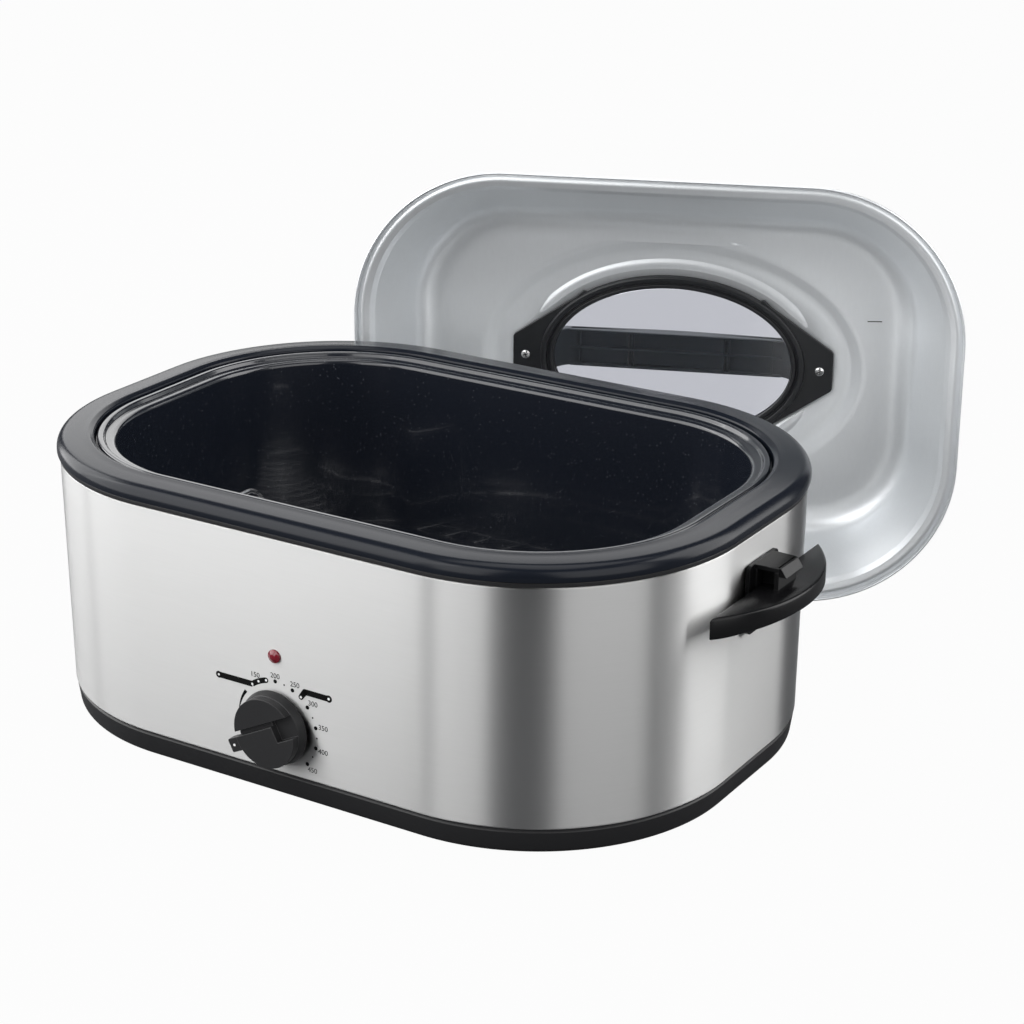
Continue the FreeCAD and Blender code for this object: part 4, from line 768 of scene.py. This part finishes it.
def build_dial():
    """Printed dots, plain bars with their white dots, tapered arc and numbers of the dial."""
    marks, pale = Build(), Build()
    for _, angle in DIAL_NUMBERS[1:]:
        printed(marks, spot(dial_spot(angle, DIAL_RADIUS), 1.4))
    for angle in (12.5, 65.5, 91.5, 118.5):
        printed(marks, spot(dial_spot(angle, DIAL_RADIUS), 0.6))
    warm, warm_end = dial_spot(-37.0, DIAL_RADIUS), (-45.8, 77.0)
    printed(marks, bar_outline(warm_end, warm, BAR_HEIGHT, BAR_HEIGHT))
    printed(marks, spot(warm_end, 2.4))
    printed(marks, band(-37.0, -14.0, DIAL_RADIUS, 3.8))
    printed(marks, spot(dial_spot(-14.0, DIAL_RADIUS), 1.8))
    thaw, bend, thaw_end = dial_spot(38.0, 32.0), (23.0, 81.6), (41.5, 81.4)
    printed(marks, spot(thaw, 1.8))
    printed(marks, bar_outline(thaw, bend, 3.6, BAR_HEIGHT))
    printed(marks, spot(bend, 2.1))
    printed(marks, bar_outline(bend, thaw_end, BAR_HEIGHT, BAR_HEIGHT))
    printed(marks, spot(thaw_end, 2.5))
    for centre, radius in ((warm, 0.85), (dial_spot(-26.0, DIAL_RADIUS), 0.85),
                           (dial_spot(-14.0, DIAL_RADIUS), 0.85),
                           (thaw, 0.85), (warm_end, 0.8), (thaw_end, 0.9)):
        printed(pale, spot(centre, radius), 0.12)
    outer, inner = [], []
    for step in range(25):
        angle = -52.0 - 32.0 * step / 24
        half = 1.15 - 0.95 * step / 24
        outer.append(dial_spot(angle, 30.6 + half))
        inner.append(dial_spot(angle, 30.6 - half))
    printed(marks, outer + inner[::-1])
    pale.piece("dial_white_dots", "white_print", "oven", slot="brushed_steel")
    marks.piece("dial_marks", "print", "oven", slot="brushed_steel")
    for number, angle in DIAL_NUMBERS:
        curve = bpy.data.curves.new(f"number_{number}", "FONT")
        curve.body = str(number)
        curve.size = 5.0 * MM
        curve.align_x = "CENTER"
        curve.align_y = "CENTER"
        curve.extrude = 0.05 * MM
        maker = bpy.data.objects.new(f"number_maker_{number}", curve)
        bpy.context.scene.collection.objects.link(maker)
        bpy.context.view_layer.update()
        source = bpy.data.meshes.new_from_object(maker.evaluated_get(bpy.context.evaluated_depsgraph_get()))
        x, z = dial_spot(angle, 34.9 + 2.2 * abs(math.sin(math.radians(angle))))
        front = (wall_face(z) - 0.04) * MM
        points = [(v.co.x + x * MM, front - v.co.z, v.co.y + z * MM) for v in source.vertices]
        faces = [tuple(face.vertices) for face in source.polygons]
        bpy.data.objects.remove(maker)
        mesh_piece(f"dial_number_{number}", points, faces, "print", "oven")


def build_lamp():
    """Domed red lens on a short upright collar."""
    height = sizes().lamp_height / MM
    face = wall_face(height)
    build = Build(lambda p: (p[0], face + p[1], height + p[2]))
    profile = rounded_path([(4.6, 0.0), (4.6, -1.2, 0.6), (3.6, -1.6, 0.5), (2.0, -2.6, 3), (0.4, -2.8)], 5)
    rings = build.rings([[(x * r, y, z * r) for x, z in circle(1.0, 48)] for r, y in profile])
    build.close(rings[0], rings[-1])
    build.piece("lamp_lens", "lamp", "oven", ["pilot_lamp_lens"], "lamp_red")


# Lid pieces
def lid_point(point):
    """A point of the standing lid: along it to the right, up, and away from the oven."""
    along, up, away = point
    sz = sizes()
    cos, sin = math.cos(sz.lid_yaw), math.sin(sz.lid_yaw)
    return (sz.lid_right / MM + cos * along - sin * away, sz.lid_behind / MM + sin * along + cos * away,
            sz.lid_half_width / MM + up)


def oval_point(point):
    """A point of what sits on the raised oval, whose middle isn't quite the lid's."""
    return lid_point((point[0] + OVAL_RIGHT, point[1] + OVAL_UP, point[2]))


def lid_loop(inset, away):
    """The lid's outline drawn in by an inset."""
    sz = sizes()
    half_x, half_y = sz.lid_half_length / MM - inset, sz.lid_half_width / MM - inset
    return [(x, y, away) for x, y in rounded_loop(half_x, half_y, sz.lid_corner / MM - inset)]


def lid_oval(half_x, half_y, away):
    """An ellipse whose points match those of the lid's outline."""
    sz = sizes()
    long, short = sz.lid_half_length / MM, sz.lid_half_width / MM
    made = []
    for x, y, _ in lid_loop(0, 0):
        turn = math.atan2(y / short, x / long)
        made.append((half_x * math.cos(turn) + OVAL_RIGHT, half_y * math.sin(turn) + OVAL_UP, away))
    return made


def build_lid_shell():
    """Pressed lid seen from inside: flat edge, deep sloped wall, panel, raised oval, beads, and a black strip
    painted as the shade of the vent slit.
    """
    build = Build(lid_point)
    path = rounded_path([
        (0.6, -2.5), (0.6, 2.4, 1.2), (5.5, -0.2, 4), (10.5, 2.0, 2), (14, 6.5, 3),
        (41.3, LID_PANEL - 0.8, 25), (63, LID_PANEL)], 8)
    rings = [lid_loop(inset, away) for inset, away in path]
    for half_x, half_y, away in (
            (152, 102, LID_PANEL), (148.5, 98.5, LID_PANEL + 0.3), (146, 96, LID_PANEL + 1),
            (141, 91, LID_OVAL - 1), (138.5, 88.5, LID_OVAL - 0.3), (135, 85, LID_OVAL), (98, 63, LID_OVAL)):
        rings.append(lid_oval(half_x, half_y, away))
    build.rings(rings)
    made = build.piece("lid_pressing", "lid", "lid", ["lid_shell"], "lid_metal", smooth=60.0)
    sheet = made.modifiers.new("sheet", "SOLIDIFY")
    sheet.thickness = 1.0 * MM
    sheet.offset = -1.0
    beads = Build(oval_point)
    for side in (1, -1):
        rows = []
        for step in range(61):
            share = step / 60
            turn = math.radians(25 + 130 * share)
            fade = min(1.0, min(share, 1 - share) * 12)
            tall = 0.7 * math.sin(fade * math.pi / 2)
            wide = 4.8 * (0.35 + 0.65 * fade)
            x, y = 115 * math.cos(turn), 78.5 * math.sin(turn)
            normal = Vector((math.cos(turn) / 115, math.sin(turn) / 78.5)).normalized()
            row = []
            for k in range(13):
                across = k / 6 - 1
                lift = tall * 0.5 * (1 + math.cos(math.pi * across))
                aside = (y + normal.y * across * wide) * side
                row.append((x + normal.x * across * wide, aside, LID_OVAL + 0.05 - lift))
            rows.append(row)
        beads.rings(rows, closed=False)
    beads.piece("lid_beads", "lid", "lid", slot="lid_metal", smooth=60.0)
    # A thin black strip painted as the shade inside the vent slit; the pressing itself has no opening.
    slit_shade = Build(lid_point)
    slit_shade.prism([(156, 45.6), (167, 46.1), (167, 46.7), (156, 46.2)], LID_PANEL - 0.4, LID_PANEL - 0.02,
               upright)
    slit_shade.piece("lid_vent_slit_painted_shade", "rubber", "lid", slot="lid_metal")


def ellipse(half_x, half_y, count=160):
    """Points of an ellipse."""
    return [(half_x * math.cos(2 * math.pi * i / count), half_y * math.sin(2 * math.pi * i / count))
            for i in range(count)]


def build_window():
    """Oval glass, and its black ring with end plates."""
    seat, back, collar = LID_OVAL, WINDOW_BACK, 62.6
    glass = Build(oval_point)
    glass.rings([[(x, y, away) for x, y in ellipse(94.0 - grow, 59.5 - grow)]
                 for away, grow in ((seat, 1.2), (seat + 0.6, 0.6), (back - 0.6, 0.6), (back, 1.2))],
                caps=True)
    glass.piece("lid_window", "glass", "lid", ["window_glass"], "window_glass")
    ring = Build(oval_point)
    profile = rounded_path([
        (93.5, back), (93.5, PLATE_FACE, 0.8), (96.4, PLATE_FACE - 0.2, 0.8), (97.0, collar, 0.6),
        (98.2, collar, 0.6), (99.0, PLATE_FACE - 2, 1.2), (103.2, PLATE_FACE - 2.2, 1.4), (104, seat),
        (97.4, seat), (97.4, back)], 6)
    ring.rings([[(x, y, away) for x, y in ellipse(half, half - 34.5)] for half, away in profile], looped=True)
    plate = rounded_path([(70, -54), (76, -48.5), (125, -15.5, 4), (125, 15.5, 4), (76, 48.5), (70, 54)], 6)
    for step in range(25):
        turn = math.radians(52 - 104 * step / 24)
        plate.append((99.5 * math.cos(turn), 65 * math.sin(turn)))
    for side in (-1, 1):
        ring.prism([(x * side, y) for x, y in plate], PLATE_FACE, seat, upright)
    ring.piece("window_ring", "frame", "lid", ["window_frame", "window_gasket"], "frame_plastic", bevel=0.5)


def build_screws():
    """Pan head screws in the ring's end plates, with black crosses painted as the shade of their cross
    recesses.
    """
    build, recess_shade = Build(oval_point), Build(oval_point)
    face, half_long, half_wide = PLATE_FACE - 2, 1.9, 0.35
    profile = rounded_path([(3.6, PLATE_FACE), (3.5, face + 0.8, 0.8), (1.5, face + 0.1, 3), (0.5, face)], 5)
    for side in (-1, 1):
        centre = LID_SCREW * side
        rings = build.rings([[(centre + x * radius, y * radius, away) for x, y in circle(1.0, 40)]
                             for radius, away in profile])
        build.close(rings[0], rings[-1])
        # Black crosses painted as the shade inside the cross recesses; the heads have no hollow.
        for turn in (math.radians(20), math.radians(110)):
            along = Vector((math.cos(turn), math.sin(turn))) * half_long
            out = Vector((-math.sin(turn), math.cos(turn))) * half_wide
            corners = [(centre + along.x * i + out.x * j, along.y * i + out.y * j)
                       for i, j in ((1, 1), (-1, 1), (-1, -1), (1, -1))]
            recess_shade.prism(corners, face - 0.15, face + 0.6, upright)
    build.piece("lid_screw_heads", "screw", "lid", ["lid_screws"], "screw_steel")
    recess_shade.piece("lid_screw_recesses_painted_shade", "rubber", "lid", slot="screw_steel")


def build_lid_handle():
    """Bowed strap handle outside the window, with a long rib and cross ribs on its inner face."""
    build = Build(oval_point)
    half, foot = STRAP_HALF_WIDTH, 65.2
    outer = rounded_path([(-122, foot), (-122, 70, 3), (-110, 91.2, 22), (0, 97.2, 400), (110, 91.2, 22),
                          (122, 70, 3), (122, foot)], 10)
    inner = rounded_path([(98, foot), (98, 70, 8), (86, 86.2, 18), (0, 92.2, 400), (-86, 86.2, 18),
                          (-98, 70, 8), (-98, foot)], 10)
    build.prism(outer + inner, -half, half, lambda x, away, y: (x, y, away))
    for x in (-76, -38, -34, 38, 42, 76):
        build.prism(box(x - 0.7, x + 0.7, 1 - half, half - 1), 84.5, 91.0, upright)
    for y in (1 - half, 0, half - 1):
        build.prism(box(-84, 84, y - 1, y + 1), 84.0, 92.0, upright)
    build.piece("strap_handle", "strap", "lid", ["lid_handle"], "frame_plastic", bevel=0.8)


# Stage
def area_light(name, place, aim, size_x, size_y, power):
    """A soft rectangular light that faces a spot."""
    data = bpy.data.lights.new(name, "AREA")
    data.shape = "RECTANGLE"
    data.size, data.size_y, data.energy = size_x, size_y, power
    made = bpy.data.objects.new(name, data)
    bpy.context.scene.collection.objects.link(made)
    made.location = place
    made.rotation_euler = (Vector(aim) - Vector(place)).to_track_quat("-Z", "Y").to_euler()


# Name, azimuth in degrees, distance and height, width and height of the panel in metres, watts
LIGHTS = (
    ("front_left_light", -139.0, 1.9, 1.1, 2.0, 2.3, 47.0),
    ("front_light", -93.5, 2.0, 1.1, 1.1, 2.3, 20.0),
    ("front_right_light", -25.0, 2.3, 1.1, 2.0, 2.3, 27.0),
    ("right_light", 36.0, 2.0, 1.1, 1.6, 2.3, 44.0),
    ("left_light", 180.0, 2.0, 0.9, 1.2, 1.8, 24.0),
    ("back_left_light", 128.0, 3.2, 1.5, 3.0, 1.8, 32.0),
)


def build_stage():
    """Pale floor, white surroundings, soft lights and the photograph's camera."""
    mesh = bpy.data.meshes.new("floor")
    reach = 12.0
    mesh.from_pydata([(x, y, 0) for x, y in box(-reach, reach, -reach, reach)], [], [(0, 1, 2, 3)])
    mesh.materials.append(white_to_the_camera(MATERIALS["floor"]))
    floor = bpy.data.objects.new("floor", mesh)
    bpy.context.scene.collection.objects.link(floor)
    world = bpy.data.worlds.new("studio")
    bpy.context.scene.world = world
    world.use_nodes = True
    tree = world.node_tree
    shown = tree.nodes["Background"]
    shown.inputs["Color"].default_value = (1.0, 1.0, 1.0, 1.0)
    shown.inputs["Strength"].default_value = 1.0
    lighting = tree.nodes.new("ShaderNodeBackground")
    lighting.inputs["Color"].default_value = (0.93, 0.95, 1.0, 1.0)
    lighting.inputs["Strength"].default_value = 0.05
    mixed = tree.nodes.new("ShaderNodeMixShader")
    tree.links.new(seen_directly(tree), mixed.inputs[0])
    tree.links.new(lighting.outputs[0], mixed.inputs[1])
    tree.links.new(shown.outputs[0], mixed.inputs[2])
    tree.links.new(mixed.outputs[0], tree.nodes["World Output"].inputs["Surface"])
    for name, azimuth, distance, height, wide, tall, power in LIGHTS:
        turn = math.radians(azimuth)
        place = (distance * math.cos(turn), distance * math.sin(turn), height)
        area_light(name, place, (0, 0, 0.12), wide, tall, power)
    area_light("top_light", (0.0, 0.2, 2.4), (0, 0, 0.1), 1.6, 1.6, 16.0)
    camera = bpy.data.cameras.new("photo_camera")
    focal_pixels, frame_pixels = 2511.13, 1024
    camera.sensor_width = 36.0
    camera.lens = focal_pixels / frame_pixels * camera.sensor_width
    camera.clip_end = 100.0
    eye = bpy.data.objects.new("photo_camera", camera)
    bpy.context.scene.collection.objects.link(eye)
    turn, rise, roll = math.radians(31.94), math.radians(20.83), math.radians(0.28)
    back = Vector((math.sin(turn) * math.cos(rise), -math.cos(turn) * math.cos(rise), math.sin(rise)))
    right = Vector((math.cos(turn), math.sin(turn), 0))
    up = back.cross(right)
    rolled_right = right * math.cos(roll) + up * math.sin(roll)
    rolled_up = up * math.cos(roll) - right * math.sin(roll)
    basis = Matrix((rolled_right, rolled_up, back)).transposed()
    eye.matrix_world = Matrix.Translation((0.8941, -1.3286, 0.75085)) @ basis.to_4x4()
    bpy.context.scene.camera = eye
    bpy.context.scene.view_settings.view_transform = "Standard"


# Operators
class ROASTER_OT_materials(bpy.types.Operator):
    """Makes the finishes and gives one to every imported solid"""

    bl_idname = "roaster.materials"
    bl_label = "Materials"

    def execute(self, context):
        make_materials()
        for finish, nodes in NODE_FINISHES.items():
            for node in nodes:
                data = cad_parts[node].data
                data.materials.clear()
                data.materials.append(MATERIALS[finish])
        return {"FINISHED"}


class ROASTER_OT_body(bpy.types.Operator):
    """Builds the steel wall and the moulded base"""

    bl_idname = "roaster.body"
    bl_label = "Wall and base"

    def execute(self, context):
        build_shell()
        build_base()
        return {"FINISHED"}


class ROASTER_OT_well(bpy.types.Operator):
    """Builds the rim with the well, and the pan"""

    bl_idname = "roaster.well"
    bl_label = "Rim, well and pan"

    def execute(self, context):
        build_rim()
        build_pan()
        return {"FINISHED"}


class ROASTER_OT_handles(bpy.types.Operator):
    """Builds the two end handles"""

    bl_idname = "roaster.handles"
    bl_label = "End handles"

    def execute(self, context):
        build_handles()
        return {"FINISHED"}


class ROASTER_OT_controls(bpy.types.Operator):
    """Builds the knob, the lamp and the printed dial"""

    bl_idname = "roaster.controls"
    bl_label = "Controls"

    def execute(self, context):
        build_knob()
        build_dial()
        build_lamp()
        return {"FINISHED"}


class ROASTER_OT_lid(bpy.types.Operator):
    """Builds the pressed lid, its window, screws and handle"""

    bl_idname = "roaster.lid"
    bl_label = "Lid"

    def execute(self, context):
        build_lid_shell()
        build_window()
        build_screws()
        build_lid_handle()
        return {"FINISHED"}


class ROASTER_OT_stage(bpy.types.Operator):
    """Builds the floor, the lights and the camera"""

    bl_idname = "roaster.stage"
    bl_label = "Stage"

    def execute(self, context):
        build_stage()
        return {"FINISHED"}


OPERATORS = (ROASTER_OT_materials, ROASTER_OT_body, ROASTER_OT_well, ROASTER_OT_handles, ROASTER_OT_controls,
             ROASTER_OT_lid, ROASTER_OT_stage)


class ROASTER_PT_panel(bpy.types.Panel):
    """Sidebar panel with the settings and one button for each operator"""

    bl_idname = "ROASTER_PT_panel"
    bl_label = "Roaster oven"
    bl_space_type = "VIEW_3D"
    bl_region_type = "UI"
    bl_category = "Roaster"

    def draw(self, context):
        for settings in (context.scene.roaster_sizes, context.scene.roaster_colours):
            column = self.layout.column()
            for name in settings.__annotations__:
                column.prop(settings, name)
        for operator in OPERATORS:
            self.layout.operator(operator.bl_idname)


CLASSES = (RoasterSizes, RoasterColours, *OPERATORS, ROASTER_PT_panel)


def register():
    """Registers the classes and the scene's settings."""
    for item in CLASSES:
        bpy.utils.register_class(item)
    bpy.types.Scene.roaster_sizes = bpy.props.PointerProperty(type=RoasterSizes)
    bpy.types.Scene.roaster_colours = bpy.props.PointerProperty(type=RoasterColours)


def unregister():
    """Takes the settings and the classes away."""
    del bpy.types.Scene.roaster_sizes
    del bpy.types.Scene.roaster_colours
    for item in reversed(CLASSES):
        bpy.utils.unregister_class(item)


def main():
    """Builds everything in order."""
    register()
    bpy.ops.roaster.materials()
    bpy.ops.roaster.body()
    bpy.ops.roaster.well()
    bpy.ops.roaster.handles()
    bpy.ops.roaster.controls()
    bpy.ops.roaster.lid()
    bpy.ops.roaster.stage()


if __name__ == "__main__":
    main()
